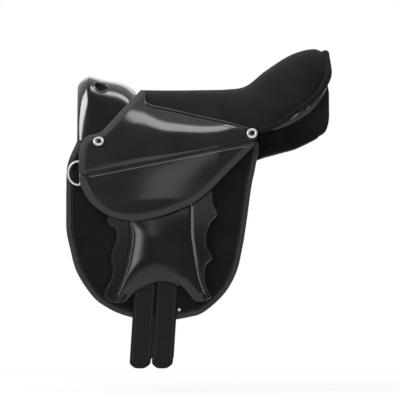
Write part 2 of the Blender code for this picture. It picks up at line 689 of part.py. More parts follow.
def make_stirrup_bar(side, word, finishes, home):
    """A steel plate on the tree with a bar standing off it, open at the rear, where the catch turns."""
    bar_y = BAR_FACE + BAR_PLATE + BAR_SLOT + BAR_ROD / 2
    front_x, rear_x = BAR_X - BAR_LENGTH / 2, BAR_X + BAR_LENGTH / 2
    pivot_x = rear_x - CATCH_LENGTH
    bar_end = pivot_x - CATCH_NOSE - GAP
    plate = solid_box(f"stirrup_bar_{word}", (BAR_X, side * (BAR_FACE + BAR_PLATE / 2), BAR_Z),
                      (BAR_LENGTH, BAR_PLATE, BAR_PLATE_HEIGHT), finishes["steel"], home)
    arm_y = BAR_FACE + BAR_PLATE + BAR_SLOT / 2
    arm = solid_box("arm", (front_x + BAR_ARM / 2, side * arm_y, BAR_Z), (BAR_ARM, BAR_SLOT + 2, BAR_ROD),
                    finishes["steel"], home)
    bar = solid_box("bar", ((front_x + bar_end) / 2, side * bar_y, BAR_Z),
                    (bar_end - front_x, BAR_ROD, BAR_ROD), finishes["steel"], home)
    combine(plate, arm, "UNION")
    combine(plate, bar, "UNION")
    pivot = (pivot_x, side * bar_y, BAR_Z)
    half = BAR_ROD / 2 - GAP
    near, far = (pivot_x, side * (bar_y - half), BAR_Z), (pivot_x, side * (bar_y + half), BAR_Z)
    catch = rod(f"bar_catch_{word}", near, far, CATCH_NOSE, finishes["steel"], home)
    thumb = solid_box("thumb", ((pivot_x + rear_x) / 2, side * bar_y, BAR_Z),
                      (rear_x - pivot_x, 2 * half - 1, THUMB_THICK), finishes["steel"], home)
    combine(catch, thumb, "UNION")
    return catch, pivot


def make_web(side, word, finishes, home):
    """The webbing that carries the girth straps, from the tree's rail down between panel and flap."""
    top_z = BAR_Z - BAR_PLATE_HEIGHT / 2 - GAP
    z = np.array([top_z, top_z - 6, -5, -20, -40, WEB_LOW_Z])
    under_flap = barrel(z) - WEB_THICK - 1
    y = np.interp(z, (-20, -5, top_z), (under_flap[3], BAR_FACE + WEB_SWELL, BAR_FACE + 1))
    y = np.where(z < -20, under_flap, y)
    x = np.linspace(BAR_X + WEB_REACH[0], BAR_X + WEB_REACH[1], 4)
    xz = np.stack(np.meshgrid(x, z), axis=-1)
    leaf(f"girth_web_{word}", xz, y[:, None] + 0 * xz[..., 0], WEB_THICK, side, finishes["web"], home)


def make_panel(side, word, finishes, home):
    """A cushion along one side of the gullet, lofted from under the pommel to under the cantle."""
    total = COVER_THICK + 2 * SOFT_GAP + PANEL_GAP + foam_depth() + TREE_THICK
    ceiling = seat_grid(total, RIM_TUBE + 2)[:-2]
    v = np.linspace(-1, 1, 15)
    low_edge = np.array(PANEL_LOW_EDGE)
    lift = np.array(PANEL_LIFT)
    rail_y = BAR_FACE - TREE_THICK - PANEL_GAP
    rings = []
    for row in ceiling:
        reach = row[-1, 1]
        share = np.linspace(GULLET_HALF / reach, PANEL_REACH, 5)
        top = np.stack([np.interp(share, v, row[:, k]) for k in range(3)], axis=1)
        x = top[-1, 0]
        low_y = BARREL_TOP_HALF - np.interp(x, low_edge[:, 0], low_edge[:, 1])
        rise = np.interp(x, lift[:, 0], lift[:, 1])
        y_low = np.linspace(low_y, GULLET_HALF + 3, 6)
        z_low = PANEL_BASE_Z - PANEL_ROUND * y_low**2 + rise
        z_low = z_low - PANEL_BELLY * np.sin(np.linspace(0, math.pi, 6))
        low = np.stack([np.full(6, x) if x < 150 else np.linspace(x, top[0, 0], 6), y_low, z_low], axis=1)
        s = np.linspace(0, 1, 5)[1:-1, None]
        wall = top[-1] + (low[0] - top[-1]) * s + np.array([0, PANEL_BULGE, 0]) * np.sin(s * math.pi)
        beside_bar = wall[:, 2] > BAR_Z - BAR_PLATE_HEIGHT
        wall[:, 1] = np.where(beside_bar, np.minimum(wall[:, 1], rail_y), wall[:, 1])
        rings.append(np.vstack([top, wall, low]))
    front = rings[0] - (0, 0, PANEL_GAP)
    centre = front.mean(axis=0)
    noses = []
    for shift, size, drop in PANEL_NOSES:
        nose = centre + (front - centre) * (1, size, size) + (shift, 4, drop)
        noses.append(nose)
    back = rings[-1]
    middle = back.mean(axis=0)
    tails = []
    for shift, size in PANEL_TAILS:
        tails.append(middle + (back - middle) * (1, size, size) + (shift, 0, 0))
    rings = np.array(noses + [front] + rings[1:] + tails) * (1, side, 1)
    return ring_solid(f"panel_{word}", rings, finishes["suede"], home)


def stud_frame(x, z, side):
    """A stud's seat on the skirt's outer face, and the direction it faces."""
    here = skirt_face(x, z) + SKIRT_THICK
    slope_x = (skirt_face(x + 2, z) - skirt_face(x - 2, z)) / 4
    slope_z = (skirt_face(x, z + 2) - skirt_face(x, z - 2)) / 4
    aim = np.array([-float(slope_x), 1.0, -float(slope_z)])
    aim /= np.linalg.norm(aim)
    return np.array([x, side * float(here), z]), aim * (1, side, 1)


def make_studs(finishes, home):
    """The bright ring and the screw in it at each end of each skirt."""
    for side, word in ((-1, "left"), (1, "right")):
        for (x, z, lift), end in zip(STUDS, ("front", "rear")):
            seat, aim = stud_frame(x, z, side)
            base = seat + aim * (lift + SOFT_GAP + GAP + STUD_WIRE)
            across = np.cross(aim, (1, 0, 0))
            across /= np.linalg.norm(across)
            along = np.cross(across, aim)
            turn = np.linspace(0, 2 * math.pi, 17)[:-1]
            radius = STUD_RING / 2 - STUD_WIRE
            loop = [base + (along * math.cos(a) + across * math.sin(a)) * radius for a in turn]
            tube(f"stud_ring_{end}_{word}", loop, STUD_WIRE, finishes["steel"], home, closed=True)
            foot = base - aim * (STUD_WIRE + SCREW_SINK)
            rod(f"stud_screw_{end}_{word}", foot, base + aim * SCREW_RISE, STUD_SCREW / 2, finishes["steel"],
                home)


def build():
    for obj in list(bpy.data.objects):
        bpy.data.objects.remove(obj)
    home = bpy.data.collections.new("pony_saddle")
    cutters = bpy.data.collections.new("cutters")
    for made in (home, cutters):
        bpy.context.scene.collection.children.link(made)
    finishes = {
        "suede": material("seat_suede", (0.012, 0.012, 0.013), 0.9),
        "leather": material("glossy_leather", (0.008, 0.008, 0.009), 0.25),
        "binding": material("braided_binding", (0.014, 0.014, 0.015), 0.7),
        "moulding": material("gloss_moulding", (0.008, 0.008, 0.009), 0.12),
        "foam": material("seat_foam", (0.09, 0.09, 0.095), 0.95),
        "steel": material("plated_steel", (0.75, 0.75, 0.76), 0.2, 1.0),
        "web": material("tree_webbing", (0.05, 0.05, 0.05), 0.9),
    }
    make_seat(finishes, home)
    make_pommel(finishes, home, cutters)
    make_studs(finishes, home)
    for side, word in ((-1, "left"), (1, "right")):
        sheets = make_sheets(side, word, finishes, home)
        tails = make_billets(side, word, finishes, home, cutters)
        ring, ring_place = make_d_ring(side, word, finishes, home)
        catch, catch_place = make_stirrup_bar(side, word, finishes, home)
        make_panel(side, word, finishes, home)
        make_web(side, word, finishes, home)
        rivet_y = barrel(RIVET_Z) + FLAP_THICK + GAP
        near, far = (RIVET_X, side * rivet_y, RIVET_Z), (RIVET_X, side * (rivet_y + RIVET_RISE), RIVET_Z)
        rivet = rod(f"flap_rivet_{word}", near, far, RIVET_HEAD / 2, finishes["steel"], home)
        fold_y = side * (barrel(FOLD_FRONT[1]) + SKIRT_OUTER)
        fold = (FOLD_FRONT[0], fold_y, FOLD_FRONT[1])
        lifted = [rivet, sheets["flap"], sheets["flap_binding"], sheets["facing"]]
        hang(lifted, f"flap_fold_{word}", fold, home)
        hang([sheets["skirt"], sheets["skirt_binding"]], f"skirt_fold_{word}", fold, home)
        hang([ring], f"d_ring_pivot_{word}", ring_place, home)
        hang([catch], f"bar_catch_pivot_{word}", catch_place, home)
        for strap, place in tails:
            hang([strap], f"{strap.name}_bend", place, home)


build()
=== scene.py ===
# %% [markdown]
# # A pony saddle in black
# The saddle hangs in the air as if on a pony, seen from its left side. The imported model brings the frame:
# rigid bodies that already turn on their joints. The sections below dress them: the seat and the pommel, the
# skirts and the flaps, the facing and the girth straps, the trim and the hardware, and last the panels. The
# saddle's sizes are millimetres, turned to metres where a mesh is made or a fold is placed. Those of the
# stage are metres.

import json
import math

import bpy
import numpy as np
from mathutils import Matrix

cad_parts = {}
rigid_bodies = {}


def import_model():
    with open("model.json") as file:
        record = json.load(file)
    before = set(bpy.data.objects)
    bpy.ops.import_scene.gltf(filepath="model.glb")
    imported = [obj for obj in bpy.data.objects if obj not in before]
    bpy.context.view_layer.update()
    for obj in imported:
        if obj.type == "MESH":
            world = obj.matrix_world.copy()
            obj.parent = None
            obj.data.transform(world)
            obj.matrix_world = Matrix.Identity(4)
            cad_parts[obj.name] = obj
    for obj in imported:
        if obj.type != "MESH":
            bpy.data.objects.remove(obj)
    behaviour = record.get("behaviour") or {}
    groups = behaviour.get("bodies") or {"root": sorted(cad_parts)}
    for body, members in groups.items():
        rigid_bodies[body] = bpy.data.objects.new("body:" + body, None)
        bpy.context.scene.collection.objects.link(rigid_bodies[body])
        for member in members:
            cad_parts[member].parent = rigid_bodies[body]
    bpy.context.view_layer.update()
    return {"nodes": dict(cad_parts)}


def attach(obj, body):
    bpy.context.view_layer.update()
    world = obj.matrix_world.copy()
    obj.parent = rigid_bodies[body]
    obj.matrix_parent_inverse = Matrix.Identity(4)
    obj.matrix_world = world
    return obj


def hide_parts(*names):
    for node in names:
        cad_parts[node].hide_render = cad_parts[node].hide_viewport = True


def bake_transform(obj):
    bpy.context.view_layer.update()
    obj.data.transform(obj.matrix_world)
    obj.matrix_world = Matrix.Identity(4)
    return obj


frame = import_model()
MM = 0.001
SIDES = ((-1, "left"), (1, "right"))


# %% [markdown]
# ## Colour and nodes
# The photograph's blacks are measured as sRGB hex values, but a shader works in linear light, so one function
# turns them. A second one adds any node with its settings and links, and the others do what the finishes
# repeat, which keeps each finish to a few readable lines.

# %% Colour and node helpers
def linear(code):
    """An sRGB hex colour as linear red, green, blue and alpha."""
    parts = np.array([int(code[k:k + 2], 16) for k in (1, 3, 5)]) / 255
    values = np.where(parts <= 0.04045, parts / 12.92, ((parts + 0.055) / 1.055) ** 2.4)
    return (*values, 1.0)


def add(tree, kind, settings=None, **links):
    """Adds a node. Settings are its properties or unlinked sockets; links are sockets fed by other nodes."""
    node = tree.nodes.new(kind)
    for key, value in (settings or {}).items():
        if hasattr(node, key):
            setattr(node, key, value)
        else:
            node.inputs[key].default_value = value
    for key, source in links.items():
        name = int(key[1:]) if key[0] == "_" else key.replace("_", " ")
        tree.links.new(source, node.inputs[name])
    return node


def new_finish(name):
    """An empty Principled material: its node tree and its shader."""
    made = bpy.data.materials.new(name)
    made.use_nodes = True
    return made, made.node_tree, made.node_tree.nodes["Principled BSDF"]


def object_place(tree):
    """Places on the object, in metres."""
    return add(tree, "ShaderNodeTexCoord").outputs["Object"]


def maths(tree, operation, *values):
    """A sum on values that are other nodes' sockets or numbers."""
    node = tree.nodes.new("ShaderNodeMath")
    node.operation = operation
    for socket, value in zip(node.inputs, values):
        if isinstance(value, float):
            socket.default_value = value
        else:
            tree.links.new(value, socket)
    return node.outputs[0]


def noise(tree, place, scale, detail, **more):
    """Noise as a factor, its cells 1 / scale metres wide. more holds its other settings."""
    settings = {"Scale": scale, "Detail": detail, **more}
    return add(tree, "ShaderNodeTexNoise", settings, Vector=place).outputs["Fac"]


def tint(tree, shader, source, deep, raised, start=0.3, end=0.7):
    """The colour runs between two sRGB colours as a factor goes from start to end."""
    node = add(tree, "ShaderNodeValToRGB", Fac=source)
    for stop, place, code in zip(node.color_ramp.elements, (start, end), (deep, raised)):
        stop.position = place
        stop.color = linear(code)
    tree.links.new(node.outputs["Color"], shader.inputs["Base Color"])


def roughen(tree, shader, source, low, high):
    """The roughness runs between two values by a factor."""
    node = add(tree, "ShaderNodeMapRange", {"To Min": low, "To Max": high}, Value=source)
    tree.links.new(node.outputs["Result"], shader.inputs["Roughness"])


def emboss(tree, shader, source, strength, depth_mm):
    """The surface's relief follows a factor."""
    bump = add(tree, "ShaderNodeBump", {"Strength": strength, "Distance": depth_mm * MM}, Height=source)
    tree.links.new(bump.outputs["Normal"], shader.inputs["Normal"])


def set_plain(shader, **values):
    """Sets the shader's plain inputs. An underscore in a name stands for a space."""
    for key, value in values.items():
        shader.inputs[key.replace("_", " ")].default_value = value


# %% [markdown]
# ## Suede-look microfibre
# The seat, the flaps and the panels are brushed microfibre cloth: no gloss, a short nap that lies in patches
# a few centimetres wide, and a soft sheen where it turns away from the eye. Real fibres are 0.02 mm thick and
# would vanish here, so the nap is drawn at about 1 mm, with wide noise for the brushed patches.

# %% Suede finish
def suede(name, deep, raised, nap_mm=1.1):
    """Brushed cloth: 0.45 of the nap and 0.55 of the patches choose between its two tones."""
    made, tree, shader = new_finish(name)
    place = object_place(tree)
    nap = noise(tree, place, 1 / (nap_mm * MM), 3.0, Roughness=0.6)
    patch = noise(tree, place, 26.0, 2.0, Distortion=0.6)
    both = maths(tree, "MULTIPLY_ADD", nap, 0.45, maths(tree, "MULTIPLY", patch, 0.55))
    tint(tree, shader, both, deep, raised, 0.36, 0.66)
    emboss(tree, shader, nap, 0.35, 0.35)
    roughen(tree, shader, nap, 0.86, 0.98)
    set_plain(shader, Specular_IOR_Level=0.18, Sheen_Weight=0.1, Sheen_Roughness=0.45,
              Sheen_Tint=linear("#8c8a86"))
    return made


# %% [markdown]
# ## Smooth coated leather
# Skirts, facing and straps are a smooth synthetic leather with a glossy polyurethane coat. It mirrors a lamp
# almost sharply, but a fine calf grain of about 0.9 mm breaks the edge of the reflection, and handling leaves
# faint cloudy patches in the gloss.

# %% Coated leather finish
def coated_leather(name, deep, raised, gloss, grain_mm=0.9, relief=0.12, shine=0.42):
    """Grained and coated: cells and half as much of pores make the grain, clouds vary tone and gloss."""
    made, tree, shader = new_finish(name)
    place = object_place(tree)
    cells = add(tree, "ShaderNodeTexVoronoi", {"Scale": 1 / (grain_mm * MM), "feature": "SMOOTH_F1"},
                Vector=place)
    cloud = noise(tree, place, 18.0, 4.0, Roughness=0.55)
    pores = noise(tree, place, 2.2 / (grain_mm * MM), 2.0)
    grain = maths(tree, "MULTIPLY_ADD", pores, 0.5, cells.outputs["Distance"])
    tint(tree, shader, cloud, deep, raised)
    roughen(tree, shader, cloud, gloss * 0.75, gloss * 1.4)
    emboss(tree, shader, grain, relief, 0.12)
    set_plain(shader, Specular_IOR_Level=shine)
    return made


# %% [markdown]
# ## Braided binding
# The edges are bound with a woven polyester braid, 9 mm wide on the skirts and 7.5 mm on the flaps:
# herringbone ribs 2.8 mm apart that meet in a V along the middle. The pattern follows the strip, so it reads
# the piece's own UV map, whose first number is the length along the strip in millimetres and whose second
# runs across it.

# %% Braid finish
def braid(name, shaded_valley, lit_rib, pitch_mm=2.8, slant_mm=3.4):
    """Ribs by the sine of the length along the strip plus twice the slant times the way from its middle."""
    made, tree, shader = new_finish(name)
    uv = add(tree, "ShaderNodeUVMap", {"uv_map": "strip"})
    parts = add(tree, "ShaderNodeSeparateXYZ", Vector=uv.outputs["UV"])
    away = maths(tree, "ABSOLUTE", maths(tree, "SUBTRACT", parts.outputs["Y"], 0.5))
    slant = maths(tree, "MULTIPLY_ADD", away, slant_mm * 2, parts.outputs["X"])
    wave = maths(tree, "SINE", maths(tree, "MULTIPLY", slant, 2 * math.pi / pitch_mm))
    fuzz = noise(tree, object_place(tree), 1400.0, 3.0)
    height = maths(tree, "MULTIPLY_ADD", wave, 0.35, fuzz)
    # Painted shade and sheen: the ribs' own height sets the tone, dark in the valleys and light on the ribs.
    tint(tree, shader, height, shaded_valley, lit_rib, 0.2, 0.85)
    roughen(tree, shader, fuzz, 0.5, 0.72)
    emboss(tree, shader, height, 0.7, 0.5)
    set_plain(shader, Specular_IOR_Level=0.4, Sheen_Weight=0.15)
    return made


# %% [markdown]
# ## Moulding, metal, thread and webbing
# The pommel is injection-moulded and comes out of a polished tool: nearly a mirror, with a slight waviness a
# few millimetres wide. The rings and studs are nickel-plated steel, with fine rub marks; a near-white diffuse
# share in their finish is a painted reflection. The thread is bonded polyester, waxed and lighter on the long
# seams.

# %% Moulding, metal, thread and webbing finishes
def moulded_plastic(name, deep, raised, gloss, index=1.5):
    """Polished plastic: fine orange peel in its relief, and scuffs in its tone and gloss."""
    made, tree, shader = new_finish(name)
    place = object_place(tree)
    peel = noise(tree, place, 220.0, 2.0)
    scuff = noise(tree, place, 24.0, 6.0, Roughness=0.7)
    tint(tree, shader, scuff, deep, raised)
    roughen(tree, shader, scuff, gloss - 0.04, gloss + 0.1)
    emboss(tree, shader, peel, 0.06, 0.3)
    set_plain(shader, IOR=index)
    return made


def plated_steel(name, dull, bright, gloss, metal=1.0):
    """Plated metal: rub marks six times finer along Z than across it."""
    made, tree, shader = new_finish(name)
    stretch = add(tree, "ShaderNodeMapping", {"Scale": (1.0, 1.0, 6.0)}, Vector=object_place(tree))
    rub = noise(tree, stretch.outputs["Vector"], 420.0, 5.0, Roughness=0.7)
    tint(tree, shader, rub, dull, bright)
    roughen(tree, shader, rub, gloss - 0.05, gloss + 0.12)
    emboss(tree, shader, rub, 0.08, 0.1)
    set_plain(shader, Metallic=metal)
    return made


def thread(name, deep, raised):
    """Twisted thread: the twist's wave sets the relief, and sets the tone as painted shade in the grooves."""
    made, tree, shader = new_finish(name)
    twist = add(tree, "ShaderNodeTexWave", {"Scale": 900.0, "Distortion": 1.5},
                Vector=object_place(tree)).outputs["Fac"]
    tint(tree, shader, twist, deep, raised)
    emboss(tree, shader, twist, 0.4, 0.1)
    set_plain(shader, Roughness=0.42)
    return made


def woven(name, deep, raised, rib_mm):
    """Woven webbing: the product of two waves, one along Z and one along X, sets the relief and paints shade
    into the hollows of the weave.
    """
    made, tree, shader = new_finish(name)
    place = object_place(tree)
    rows, cross = (add(tree, "ShaderNodeTexWave", {"Scale": 0.16 / (rib_mm * MM), "bands_direction": way,
                                                   "Distortion": 0.8}, Vector=place) for way in "ZX")
    weave = maths(tree, "MULTIPLY", rows.outputs["Fac"], cross.outputs["Fac"])
    tint(tree, shader, weave, deep, raised, 0.1, 0.8)
    emboss(tree, shader, weave, 0.6, 0.4)
    set_plain(shader, Roughness=0.9)
    return made


SEAT_SUEDE = suede("microfibre_suede_seat", "#101010", "#1a1a19")
FLAP_SUEDE = suede("microfibre_suede_flap", "#0b0b0b", "#151414")
PANEL_SUEDE = suede("microfibre_suede_panel", "#151414", "#201f1f")
SKIRT_LEATHER = coated_leather("coated_leather_skirt", "#1b1b1b", "#232323", 0.085, relief=0.06)
FACING_LEATHER = coated_leather("coated_leather_facing", "#131313", "#1b1b1b", 0.16, relief=0.15)
STRAP_LEATHER = coated_leather("coated_leather_strap", "#070707", "#0c0c0c", 0.5, relief=0.3, shine=0.25)
BRAID = braid("polyester_braid", "#050505", "#353430")
MOULDING = moulded_plastic("polished_moulding", "#0e0e0e", "#161616", 0.12, 1.75)
# Painted reflection: 0.4 of this steel is diffuse and near white, so rings and washers shine though their
# mirror sees a dark room.
STEEL = plated_steel("nickel_plated_steel", "#b4b3ad", "#f0efe9", 0.3, 0.6)
THREAD = thread("bonded_thread", "#22221f", "#4e4d48")
BRIGHT_THREAD = thread("waxed_thread", "#77766e", "#b3b1a6")
WEBBING = woven("polyester_webbing", "#101010", "#2c2c2b", 1.6)
# Painted shade: a darker copy of the moulding, for the collars that keep the finger holes black inside.
HOLE_SHADE_PLASTIC = moulded_plastic("moulding_painted_shade", "#060606", "#0b0b0b", 0.6)
# Screws and the arch rivet: a steel darker than the washers.
DARK_STEEL = plated_steel("dark_plated_steel", "#1c1c1b", "#5c5c59", 0.3)
print("finishes:", len(bpy.data.materials))


# %% [markdown]
# ## The formulas that every layer shares
# A flap hangs over the round of the pony's barrel. Its half-width is 108 mm at the top and grows by 46 mm, as
# a quarter sine, down to the foot of the flap. Each layer stands off that face by what lies under it. Seen
# from the side, the pieces are flat outlines, so a piece is an outline in X and Z whose third number comes
# from the barrel.

# %% Curves
def unit(vectors):
    """The vectors along the last axis, each made one long."""
    return vectors / np.maximum(np.linalg.norm(vectors, axis=-1, keepdims=True), 1e-9)


def spline(points, steps):
    """A Catmull-Rom curve: a cubic's slope at each point is half the chord between the point's neighbours."""
    pts = np.array(points, float)
    wide = np.vstack([2 * pts[0] - pts[1], pts, 2 * pts[-1] - pts[-2]])
    t = np.linspace(0, 1, steps + 1)[:-1, None]
    runs = []
    for a, b, c, d in zip(wide, wide[1:], wide[2:], wide[3:]):
        bend = (2 * a - 5 * b + 4 * c - d) * t**2
        twist = (3 * b - a - 3 * c + d) * t**3
        runs.append(0.5 * (2 * b + (c - a) * t + bend + twist))
    return np.vstack(runs + [pts[-1:]])


def lengths(path):
    """The distance travelled along a path, at each of its points."""
    return np.concatenate([[0], np.cumsum(np.linalg.norm(np.diff(path, axis=0), axis=1))])


def read_at(path, wanted):
    """The path's points at the wanted distances along it."""
    travel = lengths(path)
    return np.stack([np.interp(wanted, travel, path[:, k]) for k in range(path.shape[1])], axis=1)


def resample(path, count):
    """The path read at count places an equal distance apart."""
    return read_at(path, np.linspace(0, lengths(path)[-1], count))


def smooth(points, count):
    """A Catmull-Rom curve through the points, read at count places an equal distance apart."""
    return resample(spline(points, 16), count)


def inset(path, distance):
    """The (x, z) path moved to its left by distance: each point goes along the normal of the path there."""
    along = unit(np.gradient(np.asarray(path, float), axis=0))
    return path + np.stack([-along[:, 1], along[:, 0]], axis=1) * np.asarray(distance).reshape(-1, 1)


def coons(front, rear, top, bottom):
    """A Coons patch: the sum of the two blends of facing borders, less the blend of the four corners."""
    v = np.linspace(0, 1, len(front))[:, None, None]
    u = np.linspace(0, 1, len(top))[None, :, None]
    sides = (1 - u) * front[:, None] + u * rear[:, None]
    ends = (1 - v) * top[None] + v * bottom[None]
    four = (1 - v) * ((1 - u) * front[0] + u * rear[0]) + v * ((1 - u) * front[-1] + u * rear[-1])
    return sides + ends - four


def height_on(line, x):
    """Height at x of the straight line through two (x, z) points."""
    (x0, z0), (x1, z1) = line
    return z0 + (z1 - z0) * (np.asarray(x) - x0) / (x1 - x0)


def below(path, line, gap=0.0):
    """The stretch of an (x, z) path a gap or more below a line, with its ends exactly at that gap."""
    over = path[:, 1] - height_on(line, path[:, 0]) + gap
    under = np.flatnonzero(over < 0)
    ends = []
    for last, beyond in ((under[0], max(under[0] - 1, 0)), (under[-1], min(under[-1] + 1, len(path) - 1))):
        share = over[last] / min(over[last] - over[beyond], -1e-9)
        ends.append(path[last] + (path[beyond] - path[last]) * share)
    return np.vstack([ends[0], path[under], ends[1]])


def hanging(outline, edge, turns, rows, cols, line=None, gap=0.0):
    """A patch inside an outline that runs down the front, along the foot and up the rear, cut below a line if
    one is given. turns are the shares of the outline where its front ends and its rear begins."""
    steps = 480
    path = inset(smooth(outline, steps + 1), edge)
    if line is not None:
        path = resample(below(path, line, gap), steps + 1)
    first, second = (int(round(steps * share)) for share in turns)
    top = resample(np.array([path[0], path[-1]]), cols)
    return coons(resample(path[:first + 1], rows), resample(path[second:][::-1], rows), top,
                 resample(path[first:second + 1], cols))


# %% [markdown]
# The skirt lies on the flap below the fold line. Above it the skirt draws in to the seat's rim: the
# half-width falls by the 1.5th power of the height climbed, which gives the soft shoulder that catches the
# long highlight in the photograph.

# %% The barrel, the fold and the shoulder
BARREL_TOP_Z, BARREL_TOP_HALF, BARREL_SWELL, BARREL_DEPTH, BARREL_SLOPE = 10, 108, 46, 262, 0.27
FLAP_THICK, STRAP_THICK, SKIRT_THICK, FACING_THICK, TAB_THICK = 4.0, 3.0, 3.0, 3.0, 2.5
PROUD, GAP = 0.8, 0.3
POCKET_INNER = FLAP_THICK + GAP
FACING_INNER = POCKET_INNER + STRAP_THICK + GAP
SKIRT_INNER = FACING_INNER + FACING_THICK + PROUD + GAP
REAR_INNER = FLAP_THICK + 2 * PROUD + 3 * GAP
REAR_DRAW = (30.0, 70.0)
FOLD = np.array([(-171, -36.75), (75, 12)])
SEAT_CENTRE = [(-90, 91), (-45, 90.5), (0, 91), (40, 92), (69, 97), (97.5, 119), (127.5, 139), (150, 149),
               (172, 153), (188, 150)]
SEAT_RIM = [(-82.5, 52, 66), (-45, 62, 57.5), (0, 77, 47), (40, 93, 38), (80, 108, 27), (112, 109, 36),
            (145, 101, 59), (172, 90, 79), (193, 62, 112), (191, 12, 148)]
RIM_GUIDE = spline([(-150, 36, 81)] + SEAT_RIM[:8], 6)


def barrel(z):
    """Half-width of the pony's barrel at height z: a quarter sine below its top, a straight slope above."""
    z = np.asarray(z, float)
    share = np.clip((BARREL_TOP_Z - z) / BARREL_DEPTH, 0, 1)
    above = np.maximum(z - BARREL_TOP_Z, 0)
    return BARREL_TOP_HALF + BARREL_SWELL * np.sin(share * math.pi / 2) - BARREL_SLOPE * above


def skirt_stand(x):
    """How far the skirt's inner face stands off the barrel: less at the rear, with no strap under it."""
    return np.interp(x, REAR_DRAW, (SKIRT_INNER, REAR_INNER))


def shoulder(x, z):
    """Half-width of the skirt's inner face above the fold, less by the 1.5th power of the share climbed."""
    low_z = height_on(FOLD, x)
    low = barrel(low_z) + skirt_stand(x)
    rim_y = np.interp(x, RIM_GUIDE[:, 0], RIM_GUIDE[:, 1])
    rim_z = np.interp(x, RIM_GUIDE[:, 0], RIM_GUIDE[:, 2])
    share = np.clip((z - low_z) / np.maximum(rim_z - low_z, 8), 0, 1.4)
    gap = np.interp(x, (-82.5, -54.5), (5.5, 0.8))
    return low - (low - rim_y - gap) * share**1.5


def skirt_face(x, z):
    """Half-width of the skirt's inner face: the barrel's below the fold, the shoulder's above it."""
    return np.where(np.asarray(z) < height_on(FOLD, x), barrel(z) + skirt_stand(x), shoulder(x, z))


def flap_face(x, z):
    """Half-width of the flap's inner face: the barrel, kept inside the skirt above the fold."""
    room = np.interp(x, REAR_DRAW, (FLAP_THICK + TAB_THICK + PROUD + 4 * GAP, REAR_INNER))
    return np.minimum(barrel(z), skirt_face(x, z) - room)


def strap_face(stand):
    """A face that stands off the barrel by a fixed distance."""
    return lambda x, z: barrel(z) + stand


def normals(grid):
    """Unit normals of a grid of points: the cross product of its row and column directions."""
    return unit(np.cross(np.gradient(grid, axis=0), np.gradient(grid, axis=1)))


print("the flap's half-width grows from", BARREL_TOP_HALF, "to", round(float(barrel(-252)), 1), "mm")


# %% [markdown]
# ## Mesh makers
# A shell closes two grids with a rim. A strip sweeps a cross-section along a path and writes the UV map that
# the braid follows. A joiner collects small forms, such as stitches, into one mesh, and a turned form is spun
# round its axis. Every closed mesh is turned outwards by the sign of its volume.

# %% Mesh makers
def make_mesh(name, points, faces, finish, uv=None):
    """A smooth mesh from points in millimetres, its faces reversed if they close a negative volume."""
    points = np.asarray(points, float)
    corners = [np.asarray(face) for face in faces]
    volume = 0.0
    for face in corners:
        a, b, c = points[face[0]], points[face[1]], points[face[2]]
        volume += float(np.dot(a, np.cross(b, c)))
        if len(face) == 4:
            volume += float(np.dot(a, np.cross(c, points[face[3]])))
    if volume < 0:
        corners = [face[::-1] for face in corners]
    mesh = bpy.data.meshes.new(name)
    mesh.from_pydata((points * MM).tolist(), [], [face.tolist() for face in corners])
    mesh.update()
    if uv is not None:
        layer = mesh.uv_layers.new(name="strip")
        loops = np.empty(len(mesh.loops), np.int32)
        mesh.loops.foreach_get("vertex_index", loops)
        layer.data.foreach_set("uv", np.asarray(uv, float)[loops].ravel())
    mesh.shade_smooth()
    mesh.set_sharp_from_angle(angle=math.radians(42))
    mesh.materials.append(finish)
    obj = bpy.data.objects.new(name, mesh)
    bpy.context.scene.collection.objects.link(obj)
    return obj


def grid_faces(rows, cols, start=0, wrap_rows=False, wrap_cols=False):
    """Quads of a grid whose points are numbered row by row."""
    i = np.arange(rows if wrap_rows else rows - 1)[:, None]
    j = np.arange(cols if wrap_cols else cols - 1)[None, :]
    under, right = (i + 1) % rows, (j + 1) % cols
    quads = np.stack([i * cols + j, i * cols + right, under * cols + right, under * cols + j], axis=-1)
    return quads.reshape(-1, 4) + start


def tube_faces(rows, around, closed=False):
    """Quads of rings numbered one after another. The ends join if closed and get a flat face each if not."""
    faces = grid_faces(rows, around, wrap_rows=closed, wrap_cols=True).tolist()
    if not closed:
        faces += [list(range(around))[::-1], list(range((rows - 1) * around, rows * around))]
    return faces


def shell(name, inner, outer, finish, bulge=0.0):
    """A closed shell between two grids. bulge rounds its rim outwards by half an ellipse of that depth."""
    rows, cols = inner.shape[:2]
    count = rows * cols
    index = np.arange(count).reshape(rows, cols)
    border = np.concatenate([index[0, :], index[1:, -1], index[-1, -2::-1], index[-2:0:-1, 0]])
    flat_in, flat_out = inner.reshape(-1, 3), outer.reshape(-1, 3)
    faces = [grid_faces(rows, cols), grid_faces(rows, cols, count)[:, ::-1]]
    points = [flat_in, flat_out]
    rings = [border, border + count]
    if bulge:
        middle = (flat_in + flat_out) / 2
        steps = [index[1, :], index[1:, -2], index[-2, -2::-1], index[-2:0:-1, 1]]
        away = unit(middle[border] - middle[np.concatenate(steps)])
        rings = [border]
        for k, angle in enumerate(np.linspace(0, math.pi, 7)[1:-1]):
            mix = (1 - math.cos(angle)) / 2
            ring = flat_in[border] * (1 - mix) + flat_out[border] * mix + away * bulge * math.sin(angle)
            points.append(ring)
            rings.append(np.arange(len(border)) + 2 * count + k * len(border))
        rings.append(border + count)
    for low, high in zip(rings, rings[1:]):
        faces.append(np.stack([np.roll(low, -1), low, high, np.roll(high, -1)], axis=1))
    return make_mesh(name, np.vstack(points), np.vstack(faces), finish)


def leaf(name, xz, face, thick, side, finish, bulge=0.0):
    """A sheet over an (x, z) grid, its inner face at the given half-width and its outer one thick beyond."""
    x, z = xz[..., 0], xz[..., 1]
    y = face(x, z)
    inner = np.stack([x, side * y, z], axis=-1)
    return shell(name, inner, np.stack([x, side * (y + thick), z], axis=-1), finish, bulge)


